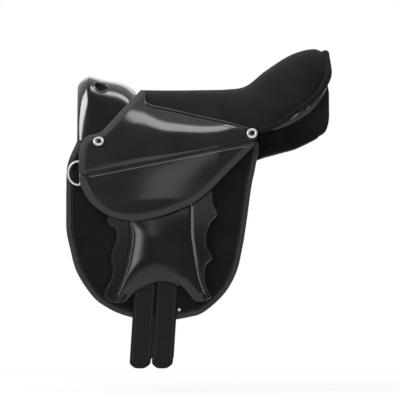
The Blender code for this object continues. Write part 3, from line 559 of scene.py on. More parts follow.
def strip_data(path, frames, profile, closed=False):
    """Points, faces and UVs of a profile swept along a path. frames holds the two directions of its plane."""
    count, around = len(path), len(profile)
    right, up = frames
    ring = path[:, None] + right[:, None] * profile[None, :, :1] + up[:, None] * profile[None, :, 1:2]
    travel = np.repeat(lengths(path), around)
    across = np.tile((profile[:, 0] - profile[:, 0].min()) / np.ptp(profile[:, 0]), count)
    return ring.reshape(-1, 3), tube_faces(count, around, closed), np.stack([travel, across], axis=1)


def round_profile(radius, around=12, flat=1.0):
    """A circle of points, or an ellipse whose height is flat times its width."""
    a = np.linspace(0, 2 * math.pi, around + 1)[:-1]
    return np.stack([np.cos(a) * radius, np.sin(a) * radius * flat], axis=1)


def frames_on(path, outward):
    """For each point of a path, the sideways direction in the surface and the surface's outward direction."""
    along = unit(np.gradient(path, axis=0))
    right = unit(np.cross(outward, along))
    return right, np.cross(along, right)


def join_data(parts):
    """Several (points, faces, uv) forms as one."""
    points, faces, uvs, start = [], [], [], 0
    for form in parts:
        points.append(form[0])
        uvs.append(form[2] if len(form) > 2 else np.zeros((len(form[0]), 2)))
        faces += [[int(k) + start for k in face] for face in form[1]]
        start += len(form[0])
    return np.vstack(points), faces, np.vstack(uvs)


def laid_on(xz, face, side, stand=0.0):
    """A side view's (x, z) path laid on a face, and the face's outward direction at each point."""
    x, z = xz[:, 0], xz[:, 1]
    slope_x = face(x + 0.5, z) - face(x - 0.5, z)
    slope_z = face(x, z + 0.5) - face(x, z - 0.5)
    out = unit(np.stack([-slope_x, np.full(len(x), 1.0), -slope_z], axis=1)) * (1, side, 1)
    return np.stack([x, side * face(x, z), z], axis=1) + out * stand, out


def point_on(x, z, face, side, stand):
    """One point laid on a face, and the face's outward direction there."""
    place, out = laid_on(np.array([[x, z]]), face, side, stand)
    return place[0], out[0]


def strip(name, path, outward, profile, finish):
    """A mesh of a profile swept along an open path whose outward direction is given."""
    points, faces, uv = strip_data(path, frames_on(path, outward), profile)
    return make_mesh(name, points, faces, finish, uv)


def turned_round(path, outward, profile):
    """A profile swept round a closed loop of points."""
    along = unit(np.roll(path, -1, axis=0) - np.roll(path, 1, axis=0))
    right = unit(np.cross(outward, along))
    return strip_data(path, (right, np.cross(along, right)), profile, closed=True)


def stitch_data(path, outward, pitch=3.4, share=0.62, thick=0.34):
    """A row of stitches: short rounded bars along the path, one each pitch, each dipping at its two ends."""
    total = lengths(path)[-1]
    starts = np.arange(pitch * 0.5, total - pitch, pitch)
    t = np.linspace(0, 1, 5)
    forms = []
    for begin in starts:
        at = begin + t * pitch * share
        centre = read_at(path, at)
        out = read_at_like(outward, path, at)
        centre = centre + out * (thick * (np.sin(t * math.pi) * 1.1 - 0.35))[:, None]
        forms.append(strip_data(centre, frames_on(centre, out), round_profile(thick, 6)))
    return join_data(forms)


def read_at_like(values, path, wanted):
    """Directions given at a path's points, read at distances along it."""
    travel = lengths(path)
    return unit(np.stack([np.interp(wanted, travel, values[:, k]) for k in range(3)], axis=1))


def spun(profile, base, aim, count=64):
    """A turned form: each (radius, height) of the profile makes a circle round the axis from base along aim.
    A profile that starts on the axis closes with its two ends as small discs; any other closes on itself."""
    aim = np.asarray(aim, float) / np.linalg.norm(aim)
    across = np.cross(aim, (1, 0, 0))
    across /= np.linalg.norm(across)
    along = np.cross(across, aim)
    a = np.linspace(0, 2 * math.pi, count + 1)[:-1]
    circle = along[None] * np.cos(a)[:, None] + across[None] * np.sin(a)[:, None]
    whole = profile[0][0] > 0
    profile = np.maximum(np.array(profile, float), (0.02, -1e9))
    points = base + circle[None] * profile[:, :1, None] + aim * profile[:, 1:, None]
    return points.reshape(-1, 3), tube_faces(len(profile), count, whole)


def cut_away(obj, tool):
    """Cuts a closed tool out of a piece with an exact Boolean, then removes the tool."""
    cut = obj.modifiers.new("cut", "BOOLEAN")
    cut.object = tool
    cut.solver = "EXACT"
    obj.data = bpy.data.meshes.new_from_object(obj.evaluated_get(bpy.context.evaluated_depsgraph_get()))
    obj.modifiers.clear()
    bpy.data.objects.remove(tool)
    obj.data.shade_smooth()
    obj.data.set_sharp_from_angle(angle=math.radians(35))


print("makers ready for", ", ".join(word for _, word in SIDES))


# %% [markdown]
# ## Seat
# The seat is foam under one piece of suede. Across, it falls from its centre line to its rim by the 2.3rd
# power of the distance, which keeps the middle nearly flat and rolls the edges under. The cloth puckers
# faintly where it is pulled over the cantle.

# %% Seat and cantle binding
RIM_TUBE, PADDING, SEAT_COVER = 3.5, 15.0, 2.8
SEAT_MIDDLE_X, SEAT_MIDDLE_Z = 60, 20


def seat_grid(depth, steps=8, columns=81):
    """The seat's surface, depth below its top, kept inside the binding at the cantle."""
    centre, rim = spline(SEAT_CENTRE, steps), spline(SEAT_RIM, steps)
    v = np.linspace(-1, 1, columns)[None, :, None]
    away = np.abs(v)
    rows = np.linspace(0, 1, len(centre))[:, None, None]
    x = centre[:, None, :1] + (rim[:, None, :1] - centre[:, None, :1]) * away**2
    y = rim[:, None, 1:2] * v
    z = centre[:, None, 1:2] - (centre[:, None, 1:2] - rim[:, None, 2:3]) * away**2.3
    grid = np.concatenate([x, y, z], axis=2)
    pucker = 0.35 * np.sin(v * 46) * np.clip((rows - 0.72) / 0.25, 0, 1) * away**2
    grid = grid - normals(grid) * (depth - pucker)
    aim = unit(np.concatenate([x - SEAT_MIDDLE_X, y, z * 0], axis=2))
    cantle = np.clip((rim[:, None, :1] - SEAT_MIDDLE_X) / 20, 0, 1)
    weight = np.maximum(away**8 * (0.25 + 0.75 * cantle), rows**12)
    return grid - aim * (RIM_TUBE + 2.0) * weight


def seat_depth(columns=81):
    """The seat's depth: its cover, and padding that thins to a quarter by the cube of the way to the rim."""
    v = np.abs(np.linspace(-1, 1, columns))[None, :, None]
    return SEAT_COVER + PADDING * (1 - 0.75 * v**3)


seat = shell("seat", seat_grid(seat_depth()), seat_grid(0), SEAT_SUEDE, bulge=0.8)
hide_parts("seat_cover", "seat_foam")
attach(seat, "root")

rim = spline(SEAT_RIM[4:], 14)[4:]
loop = resample(np.vstack([rim * (1, -1, 1), rim[::-1]]), 260)
away = unit(loop - np.array([SEAT_MIDDLE_X, 0, SEAT_MIDDLE_Z]))
# The welt is a plain cord beside the studs and fattens to 1.8 times its size round the cantle's top
stout = 1 + 0.8 * np.clip((loop[:, 2] - 60) / 60, 0, 1)[:, None]
core = loop - (away + (0, 0, 0.35)) * RIM_TUBE * (stout - 1)
points, faces, uv = strip_data(loop, frames_on(loop, away), round_profile(RIM_TUBE, 16))
points = core[:, None] + (points.reshape(len(loop), 16, 3) - loop[:, None]) * stout[:, None]
seat_welt = make_mesh("cantle_binding", points.reshape(-1, 3), faces, SEAT_SUEDE, uv)
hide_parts("seat_binding")
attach(seat_welt, "root")

# Under the welt a glossy band closes the cantle down to the panels
t = np.linspace(0, 1, 9)[:, None, None]
grown = np.clip((loop[:, 0] - 92) / 62, 0, 1)
tall = (1 + 14 * grown**2 * (3 - 2 * grown))[None, :, None]
travel = lengths(loop)[None, :, None]
pucker = (0.9 + 0.5 * np.sin(travel / 6.5)) * np.sin(t * math.pi)
outside = loop[None] + away[None] * (pucker - 2.6 - 1.5 * t) - np.array([0, 0, 1.0]) * (1.5 + tall * t)
band = shell("cantle_band", outside - away[None] * 1.2, outside, SKIRT_LEATHER)
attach(band, "root")
print("seat:", len(seat.data.polygons), "faces")

# %% [markdown]
# ## Pommel
# The pommel is a moulded shell whose sections across the saddle are parabolas: 83 mm half-wide at the foot,
# they fall by the square of the distance from the crest. Its front edge rolls in by a quarter of an ellipse,
# which catches the tall highlight. Each finger hole has a raised rim, and behind it a collar 15 mm deep in a
# darker moulding: painted shade that keeps the hole black inside.

# %% Pommel with its finger holes
POMMEL_TOP = [(-184.5, 98), (-178, 106), (-168, 112), (-158, 110), (-148, 107), (-135, 104.5), (-122, 102),
              (-109, 97), (-97.5, 89)]
FOOT_Z, FOOT_HALF, LIP, WALL = 12.0, 83.0, 13.0, 4.5
ROLL_DEPTH, ROLL_LENGTH = 9.0, 22.0
HOLE, HOLE_X, HOLE_Y, HOLE_Z, HOLE_TILT = 19.0, -149.0, 30.0, 95.0, 39.0
COLLAR, RIM_OUT = 15.0, 1.1


def pommel_height(x, y):
    """Height of the pommel's outside: the crest less a share that grows with the square of y."""
    line = spline(POMMEL_TOP, 16)
    crest = np.interp(x, line[:, 0], line[:, 1])
    return crest - (crest - FOOT_Z) * (y / FOOT_HALF)**2


def pommel_grid():
    """The outside: the crest line spread into parabolas, its front edge rolled in to a lip turned back."""
    line = smooth(POMMEL_TOP, 90)
    t = np.linspace(0, 1, 12)[:-1]
    lip_x = line[0, 0] + 4 * (1 - t)**2 - 0.3 * np.sin(t * math.pi)
    lip = np.stack([lip_x, line[0, 1] - LIP * (1 - t)], axis=1)
    near = np.clip((line[:, 0] - line[0, 0]) / ROLL_LENGTH, 0, 1)
    roll = ROLL_DEPTH * (1 - np.sqrt(1 - (1 - near)**2))
    drawn = np.concatenate([ROLL_DEPTH + LIP * 0.8 * (1 - t), roll])[:, None]
    line = np.vstack([lip, line])
    a = np.linspace(-1, 1, 121)[None, :]
    z = line[:, 1:] - (line[:, 1:] - FOOT_Z) * a**2
    return np.stack([line[:, :1] + a * 0, (FOOT_HALF - drawn) * a, z], axis=-1)


outside = pommel_grid()
pommel = shell("pommel", outside - normals(outside) * WALL, outside, MOULDING, bulge=1.6)
for side, word in SIDES:
    lean = math.radians(HOLE_TILT)
    aim = np.array([0, side * math.sin(lean), math.cos(lean)])
    middle = np.array([HOLE_X, side * HOLE_Y, HOLE_Z])
    ends = np.linspace(-20, 20, 2)[:, None] * aim + middle
    drill = strip(f"drill_{word}", ends, np.array([[1.0, 0, 0]] * 2), round_profile(HOLE / 2, 48), MOULDING)
    cut_away(pommel, drill)

    turn = np.linspace(0, 2 * math.pi, 73)[:-1]
    x = HOLE_X + np.cos(turn) * (HOLE / 2 + RIM_OUT)
    y = side * (HOLE_Y + np.sin(turn) * (HOLE / 2 + RIM_OUT) * math.cos(lean))
    rim_path = np.stack([x, y, pommel_height(x, y)], axis=1)
    form = turned_round(rim_path, np.tile(aim, (72, 1)), round_profile(1.6, 10, 0.9))
    lip_ring = make_mesh(f"finger_hole_rim_{word}", *form[:2], MOULDING)
    mouth = np.array([HOLE_X, side * HOLE_Y, float(pommel_height(HOLE_X, HOLE_Y))]) - aim * 1.5
    low, out = HOLE / 2 + 0.05, HOLE / 2 + 1.5
    # The collar is painted shade: a dark tube in the hole, where there would only be the shade inside the
    # shell.
    walls = spun([(out, 0), (out, -COLLAR), (low, -COLLAR), (low, 0)], mouth, aim, 72)
    shade_collar = make_mesh(f"finger_hole_collar_{word}", *walls, HOLE_SHADE_PLASTIC)
    for piece in (lip_ring, shade_collar):
        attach(piece, "root")
pommel.data.set_sharp_from_angle(angle=math.radians(30))
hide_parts("pommel_head")
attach(pommel, "root")
print("pommel:", len(pommel.data.polygons), "faces")


# %% [markdown]
# ## Skirts
# A skirt is two panels of glossy coated leather. They meet along the fold line, under the long stitched seam:
# the upper one stays on the saddle and the lower one lifts with the rider's leg. Both are 3 mm thick with
# rounded edges, and a braid 9 mm wide is folded over the free edge.

# %% Skirt panels
SKIRT_OUTLINE = [(-180.6, -36), (-178.8, -50), (-168, -72), (-156, -85), (-138, -97.5), (-120, -103.5),
                 (-102, -105.6), (-78, -103.5), (-54, -97.5), (-30, -88.5), (-9, -79), (15, -60), (45, -30),
                 (63, -12), (80, 6), (84, 15.5)]
SKIRT_TOP_EDGE = [(-88.5, 91.5), (-119, 58.5), (-147, 28), (-168, 20.5), (-178.5, 6), (-180.6, -14),
                  (-180.6, -37)]
SKIRT_SEAM = [(-86, 90), (-81, 67.5), (-45, 58), (0, 47.5), (40, 38.5), (84, 25.5)]
BRAID_WIDTH, CUT_GAP, SWELL = 9.0, 1.2, 3.5
BRAID_REPEAT, ROUNDED = 9.6, 0.6


def skirt_body(x, z):
    """The skirt's inner face, swollen by the padding under it: a half sine along it times one down it."""
    along = np.sin(np.clip((x + 185) / 260, 0, 1) * math.pi)
    fold_z = height_on(FOLD, x)
    down = np.sin(np.clip((fold_z - z) / np.maximum(fold_z + 108, 30), 0, 1) * math.pi)
    return skirt_face(x, z) + SWELL * along * down


def edge_braid(name, path, face, thick, side, line=None, gap=0.0, width=BRAID_WIDTH, count=260):
    """A braid folded over an edge: lanes from the outer face, round the edge, to the inner face.
    Each lane is a share of the width in from the edge, and a level from 1 outside to -1 inside."""
    across = [(1.0, 1), (0.72, 1), (0.45, 1), (0.2, 1), (0.06, 0.9), (0.0, 0.3), (0.0, -0.3), (0.06, -0.9),
              (0.45, -1), (1.0, -1)]
    lanes, uvs = [], []
    travelled = np.cumsum([0] + [math.dist((a[0] * width, a[1] * 2.4), (b[0] * width, b[1] * 2.4))
                                 for a, b in zip(across, across[1:])])
    for (share, level), place in zip(across, travelled):
        lane = inset(smooth(path, 4 * count), width * share)
        lane = resample(below(lane, line, gap) if line is not None else lane, count)
        proud = PROUD * (1 if share < 0.9 else 0.55)
        y = face(lane[:, 0], lane[:, 1]) + thick / 2 + level * (thick / 2 + proud)
        lanes.append(np.stack([lane[:, 0], side * y, lane[:, 1]], axis=1))
        uvs.append(np.stack([lengths(lane), np.full(count, place / BRAID_REPEAT)], axis=1))
    points = np.stack(lanes, axis=1).reshape(-1, 3)
    uv = np.stack(uvs, axis=1).reshape(-1, 2)
    return make_mesh(name, points, tube_faces(count, len(across)), BRAID, uv)


def seam_row(path, face, side, stand, thick=0.34, pitch=3.4):
    """A row of stitches laid on a face along an (x, z) path."""
    line, out = laid_on(resample(path, 400), face, side, stand)
    return stitch_data(line, out, pitch=pitch, thick=thick)


for side, word in SIDES:
    edge = BRAID_WIDTH - 1.5
    grid = hanging(SKIRT_OUTLINE, edge, (0.24, 0.44), 60, 90, FOLD, CUT_GAP)
    skirt = leaf(f"skirt_panel_{word}", grid, skirt_body, SKIRT_THICK, side, SKIRT_LEATHER, bulge=ROUNDED)
    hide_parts(f"skirt_{word}")
    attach(skirt, f"skirt_{word}")

    trim = edge_braid(f"skirt_braid_{word}", SKIRT_OUTLINE, skirt_body, SKIRT_THICK, side, FOLD, CUT_GAP)
    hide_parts(f"skirt_binding_{word}")
    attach(trim, f"skirt_{word}")

    front = inset(smooth(SKIRT_TOP_EDGE, 241), edge)
    front[-1, 1] = height_on(FOLD, front[-1, 0])
    seam = smooth(SKIRT_SEAM, 90)
    seam = resample(np.vstack([front[:1], seam[4:]]), 90)
    rear_x = SKIRT_SEAM[-1][0]
    rear = np.array([seam[-1], (rear_x, height_on(FOLD, rear_x))])
    base = np.array([front[-1], rear[-1]])
    grid = coons(resample(front, 60), resample(rear, 60), seam, resample(base, 90))
    top = leaf(f"skirt_top_panel_{word}", grid, skirt_face, SKIRT_THICK, side, SKIRT_LEATHER, bulge=ROUNDED)
    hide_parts(f"skirt_upper_{word}")
    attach(top, "root")

    trim = edge_braid(f"skirt_top_braid_{word}", SKIRT_TOP_EDGE, skirt_face, SKIRT_THICK, side)
    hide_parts(f"skirt_upper_binding_{word}")
    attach(trim, "root")
print("skirts: two panels and two braids a side")

# %% [markdown]
# ## Flaps
# The flap is one sheet of suede-look microfibre on a stiff core, 4 mm thick. In the imported model it is two
# solids that meet on a line hidden under the skirt; here it is one mesh, fixed where it hangs at rest. A
# narrower braid binds its edge.

# %% Flaps and their braid
FLAP_EDGE = [(-184, 13), (-197.5, -21.4), (-199.5, -59), (-199.5, -93), (-199, -120), (-193.5, -147),
             (-183, -183), (-159, -219), (-136.5, -236), (-114, -246), (-90, -251.5), (-50, -254),
             (-18, -249.5), (6, -241.5), (36, -214.5), (54, -183), (63, -147), (69, -111), (76.5, -57),
             (82, -30), (87.5, 0), (86, 12)]
FLAP_BRAID_WIDTH = 7.5


for side, word in SIDES:
    grid = hanging(FLAP_EDGE, 3.0, (0.355, 0.64), 120, 100)
    flap = leaf(f"flap_sheet_{word}", grid, flap_face, FLAP_THICK, side, FLAP_SUEDE, bulge=ROUNDED)
    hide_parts(f"flap_{word}", f"flap_upper_{word}")
    trim = edge_braid(f"flap_braid_{word}", FLAP_EDGE, flap_face, FLAP_THICK, side, width=FLAP_BRAID_WIDTH,
                      count=420)
    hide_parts(f"flap_binding_{word}")
    for piece in (flap, trim):
        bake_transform(piece)
print("flaps: one sheet and one braid a side")


# %% [markdown]
# ## Facing
# Under the rider's leg the flap carries a smooth facing with a scalloped outline and an arch at its foot,
# where the girth straps come out. Two long seams run down it. Between them it is padded: it stands 5 mm
# proud, by the root of the distance from the front seam times the distance to the rear one. Outside them its
# scalloped wings lie flat.

# %% Facing, its piping, its stitches and the braid over the arch
FACING_OUTLINE = [(-138, -64), (-136.5, -108), (-125, -119), (-124, -135), (-131.5, -158), (-129, -181),
                  (-133, -196), (-142, -214), (-133, -226), (-114, -227), (-105, -219), (-92, -208),
                  (-67.5, -197.4), (-48.8, -196), (-27, -203.4), (-16.8, -214.5), (-5, -226), (16.5, -221),
                  (10, -206), (7, -190), (9, -172), (18, -161), (10, -144), (9.5, -126), (16, -108.6),
                  (25.5, -97), (19.5, -80), (16.5, -45)]
FRONT_SEAM = [(-105, -70), (-103.9, -106.5), (-101.4, -129), (-104, -151.5), (-109.8, -178.5),
              (-116.4, -199.5), (-124.8, -219)]
REAR_SEAM = [(-13, -70), (-12.6, -102), (-12, -129), (-7.5, -160.5), (-2.6, -187.5), (3.5, -206), (8.5, -218)]
FACING_DOME, DENT, DENT_REACH = 5.0, 0.5, 2.2
FACING_PATH = smooth(FACING_OUTLINE, 961)


def seam_x(seam, z):
    """Where a long seam lies at height z."""
    line = spline(seam, 8)[::-1]
    return np.interp(z, line[:, 1], line[:, 0])


def facing_dome(x, z):
    """Height of the padding: steep behind the front seam, gentle to the rear one, none at skirt and arch."""
    front, rear = seam_x(FRONT_SEAM, z), seam_x(REAR_SEAM, z)
    share = np.clip((x - front) / (rear - front), 0, 1)
    arch = -196 - 16 * np.minimum(np.abs(x + 58) / 42, 1.6)**2
    low = np.clip((z - arch - 7) / 34, 0, 1)
    high = np.clip((-92 - z) / 40, 0, 1)
    across = 2.6 * np.sqrt(share) * (1 - share)
    return FACING_DOME * across * np.sin(low * math.pi / 2) * np.sin(high * math.pi / 2)


def facing_top(x, z):
    """Half-width of the facing's outer face."""
    dent = sum(DENT * np.exp(-((x - seam_x(seam, z)) / DENT_REACH)**2) for seam in (FRONT_SEAM, REAR_SEAM))
    return barrel(z) + FACING_INNER + FACING_THICK + facing_dome(x, z) - dent


def facing_run(low, high, count):
    """A stretch of the facing's outline between two shares of its length."""
    a, b = int(low * 960), int(high * 960)
    return resample(FACING_PATH[a:b + 1], count)


for side, word in SIDES:
    grid = hanging(FACING_OUTLINE, 0.8, (0.298, 0.66), 130, 150)
    thick = facing_top(grid[..., 0], grid[..., 1]) - barrel(grid[..., 1]) - FACING_INNER
    facing = leaf(f"facing_sheet_{word}", grid, strap_face(FACING_INNER), thick, side, FACING_LEATHER,
                  bulge=0.7)
    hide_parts(f"flap_facing_{word}")
    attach(facing, f"flap_{word}")

    pieces = []
    for low, high in ((0.06, 0.405), (0.62, 0.985)):
        line, out = laid_on(inset(facing_run(low, high, 300), 0.6), facing_top, side, 0.2)
        pieces.append(strip_data(line, frames_on(line, out), round_profile(1.0, 10)))
    line, out = laid_on(smooth(FRONT_SEAM, 240), facing_top, side, 0.5)
    pieces.append(strip_data(line, frames_on(line, out), round_profile(1.1, 12)))
    piping = make_mesh(f"facing_piping_{word}", *join_data(pieces)[:2], SKIRT_LEATHER)
    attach(piping, f"flap_{word}")

    rows = [seam_row(inset(facing_run(low, high, 300), 3.4), facing_top, side, 0.2, thick=0.28)
            for low, high in ((0.06, 0.39), (0.66, 0.985))]
    long_rows = [seam_row(inset(smooth(FRONT_SEAM, 240), 2.4), facing_top, side, 0.35, thick=0.4, pitch=4.2),
                 seam_row(smooth(REAR_SEAM, 240), facing_top, side, 0.3, thick=0.5, pitch=4.5)]
    for name, data, finish in (("facing_stitches", rows, THREAD),
                               ("facing_seam_stitches", long_rows, BRIGHT_THREAD)):
        seams = make_mesh(f"{name}_{word}", *join_data(data)[:2], finish)
        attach(seams, f"flap_{word}")

    arch = inset(facing_run(0.385, 0.625, 260), 6.6)
    line, out = laid_on(arch, facing_top, side, 0.5)
    half = [(-6.4, -0.6), (-6.4, 0.4), (-5.6, 1.0), (-3, 1.3)]
    flat = np.array(half + [(0, 1.1)] + [(-x, z) for x, z in half[::-1]])
    arch_braid = strip(f"arch_braid_{word}", line, out, flat, BRAID)
    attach(arch_braid, f"flap_{word}")

    head = [(0, -1.5), (2.6, -1.5), (2.6, 0.3), (2.2, 0.9), (1.6, 1.0), (1.3, 0.6), (0, 0.5)]
    form = spun(head, *point_on(-33.0, -200.0, facing_top, side, 1.2), 36)
    keeper = make_mesh(f"arch_rivet_{word}", *form, DARK_STEEL)
    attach(keeper, f"flap_{word}")
print("facing: sheet, piping, stitches, arch braid and rivet a side")

# %% [markdown]
# ## Girth straps
# Two straps a side come out under the arch. Each is 30.5 mm wide and 3 mm thick, leaning forward by 3.6
# degrees, with a creased line 2 mm and a row of stitches 3.4 mm inside each edge, and two 4 mm holes 25 mm
# apart. In the imported model a strap is two solids; here it is one mesh, which steps out by the braid's
# height at the pocket's mouth.

# %% Girth straps
BILLET_WIDTH, BILLET_LEAN = 30.5, 3.6
BILLET_X = (-83.0, -50.0)
BILLET_TOP_Z, BILLET_MOUTH_Z, BILLET_TIP_Z = -70.0, -222.0, -325.0
BILLET_HOLES_Z, BILLET_HOLE, TIP_ROUND = (-282.0, -307.0), 4.0, 10.0


def strap_centre(start_x, z):
    """Where a strap's middle line lies at height z."""
    return start_x + (z - BILLET_MOUTH_Z) * math.tan(math.radians(BILLET_LEAN))


def strap_inner(z):
    """The strap's inner face: it steps out by the braid's height, in a smooth step 8 mm long at the mouth."""
    share = np.clip((BILLET_MOUTH_Z + 4 - z) / 8, 0, 1)
    return barrel(z) + POCKET_INNER + PROUD * share**2 * (3 - 2 * share)


for side, word in SIDES:
    for start_x, place in zip(BILLET_X, ("front", "rear")):
        tip_z = BILLET_TIP_Z + TIP_ROUND
        z = np.concatenate([np.linspace(BILLET_TOP_Z, tip_z, 120), tip_z - np.linspace(0, TIP_ROUND, 16)[1:]])
        fall = np.clip((tip_z - z) / TIP_ROUND, 0, 1)
        half = BILLET_WIDTH / 2 - 9 * fall**2.2
        across = np.linspace(-1, 1, 25)
        x = strap_centre(start_x, z)[:, None] + half[:, None] * across
        xz = np.stack([x, z[:, None] + 0 * across], axis=-1)
        groove = 0.35 * np.exp(-((np.abs(across) - 0.86) / 0.03)**2)
        strap = leaf(f"girth_strap_{place}_{word}", xz, lambda a, b: strap_inner(b),
                     STRAP_THICK - groove[None, :], side, STRAP_LEATHER, bulge=0.5)
        for k, hole_z in enumerate(BILLET_HOLES_Z):
            y = float(barrel(hole_z)) + POCKET_INNER
            ends = np.array([(strap_centre(start_x, hole_z), side * (y + t), hole_z) for t in (-8, 14)])
            drill = strip(f"punch_{k}", ends, np.array([[1.0, 0, 0]] * 2), round_profile(BILLET_HOLE / 2, 28),
                          STRAP_LEATHER)
            cut_away(strap, drill)
        node = f"billet_{place}_{word}"
        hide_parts(node, f"{node}_upper")
        rows = []
        low = np.linspace(-190, BILLET_TIP_Z + 9, 200)
        for edge in (-1, 1):
            x = strap_centre(start_x, low) + edge * (BILLET_WIDTH / 2 - 3.4)
            path = np.stack([x, low], axis=1)
            rows.append(seam_row(path, lambda a, b: strap_inner(b) + STRAP_THICK, side, 0.1, thick=0.3,
                                 pitch=3.0))
        seams = make_mesh(f"girth_strap_stitches_{place}_{word}", *join_data(rows)[:2], THREAD)
        for piece, kind in ((strap, "leather"), (seams, "binding")):
            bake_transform(piece)


# %% [markdown]
# ## Seams and piping
# Stitches lie 3.4 mm apart. The two skirt panels meet in a raised seam with a bright row of stitches below it
# and a dark one above, the seat meets the skirt in a thin piping, and one row runs inside each braid.

# %% Seams and piping on the skirts and flaps
SEAM_INSIDE, FLAP_SEAM_INSIDE = 1.6, 1.8


def seam_bead(name, path, face, side, stand, radius, finish):
    """A low round cord laid on a face along an (x, z) path, 0.8 times as high as it is wide."""
    line, out = laid_on(resample(path, 300), face, side, stand)
    return strip(name, line, out, round_profile(radius, 12, 0.8), finish)


def outer(face, thick):
    """The outer face of a sheet of that thickness."""
    return lambda x, z: face(x, z) + thick


def on_line(line, drop, low_x, high_x):
    """A straight (x, z) path at a fixed height below a line."""
    x = np.linspace(low_x, high_x, 300)
    return np.stack([x, height_on(line, x) - drop], axis=1)


for side, word in SIDES:
    top_of_skirt = outer(skirt_body, SKIRT_THICK)
    top_of_upper = outer(skirt_face, SKIRT_THICK)
    top_of_flap = outer(flap_face, FLAP_THICK)

    bead = seam_bead(f"skirt_seam_{word}", on_line(FOLD, 2.6, -168, 76), top_of_skirt, side, 0.1, 1.2,
                     SKIRT_LEATHER)
    row = seam_row(on_line(FOLD, 5.4, -166, 74), top_of_skirt, side, 0.15, thick=0.42)
    fold_seam = make_mesh(f"skirt_seam_stitches_{word}", *row[:2], BRIGHT_THREAD)
    inner = inset(smooth(SKIRT_OUTLINE, 700), BRAID_WIDTH + SEAM_INSIDE)
    row = seam_row(below(inner, FOLD, 6.0), top_of_skirt, side, 0.15)
    seams = make_mesh(f"skirt_stitches_{word}", *row[:2], THREAD)
    for piece, kind in ((bead, "leather"), (seams, "binding"), (fold_seam, "binding")):
        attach(piece, f"skirt_{word}")

    rows = [seam_row(on_line(FOLD, -3.4, -166, 80), top_of_upper, side, 0.15)]
    inner = inset(smooth(SKIRT_TOP_EDGE, 400), BRAID_WIDTH + SEAM_INSIDE)
    rows.append(seam_row(inner[10:-10], top_of_upper, side, 0.15))
    seat_seam = smooth(SKIRT_SEAM, 200)[6:]
    rows.append(seam_row(inset(seat_seam, -3.4), top_of_upper, side, 0.2))
    seams = make_mesh(f"skirt_top_stitches_{word}", *join_data(rows)[:2], THREAD)
    piping = seam_bead(f"seat_piping_{word}", inset(seat_seam, 0.6), skirt_face, side, 1.9, 2.1,
                       SKIRT_LEATHER)
    for piece, kind in ((seams, "binding"), (piping, "leather")):
        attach(piece, "root")

    inner = inset(smooth(FLAP_EDGE, 900), FLAP_BRAID_WIDTH + FLAP_SEAM_INSIDE)
    row = seam_row(inner[60:-60], top_of_flap, side, 0.1, thick=0.3)
    seams = make_mesh(f"flap_stitches_{word}", *row[:2], THREAD)
    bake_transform(seams)
print("seams: stitched rows on skirts and flaps")

# %% [markdown]
# ## Studs, rivets and rings
# Each end of a skirt is held by a screw with a cross recess in a bright cupped washer, 16.5 mm across. Both
# are turned shapes: a radius that changes along an axis square to the skirt. The D-ring is 3.2 mm wire bent
# round two corners and a bow.

# %% Studs, rivets and rings
STUDS = ((-151.5, 12.0, PROUD, "front"), (78.0, 24.0, 0.0, "rear"))
WASHER = [(8.25, 0.2), (8.25, 0.7), (7.9, 1.5), (7.2, 2.3), (6.4, 2.75), (5.7, 2.6), (4.9, 1.9), (4.25, 1.1),
          (4.1, 0.4), (4.1, 0.1)]
SCREW = [(0, 0.1), (3.7, 0.1), (3.95, 0.9), (3.9, 1.3), (3.5, 1.62), (2.6, 1.85), (1.4, 1.97), (0, 2.0)]
RIVET = [(0, -0.2), (2.5, -0.2), (2.5, 0.2), (2.3, 0.7), (1.8, 1.1), (1.0, 1.38), (0, 1.45)]
DRIVER = np.array([(-0.45, -1.0), (0.45, -1.0), (0.6, 1), (-0.6, 1)])
STUD_LIFT, CROSS_TURN, CROSS_HALF = 0.7, 18, 2.3
RIVET_X, RIVET_Z = -31.0, -238.0
RING_TOP_Z, RING_LOW_Z, RING_BAR_X, RING_REACH, RING_WIRE, RING_CORNER = -17.5, -52.5, -178.5, 18.0, 3.2, 2.5
RING_PLAY = 0.6
TAB_FRONT = [(-160, 14), (-173, 4), (-181.5, -5), (-181.5, -11), (-176.5, -15), (-176.5, -24)]
TAB_REAR = [(-140, 4), (-150, -16), (-162, -34), (-176.5, -46)]


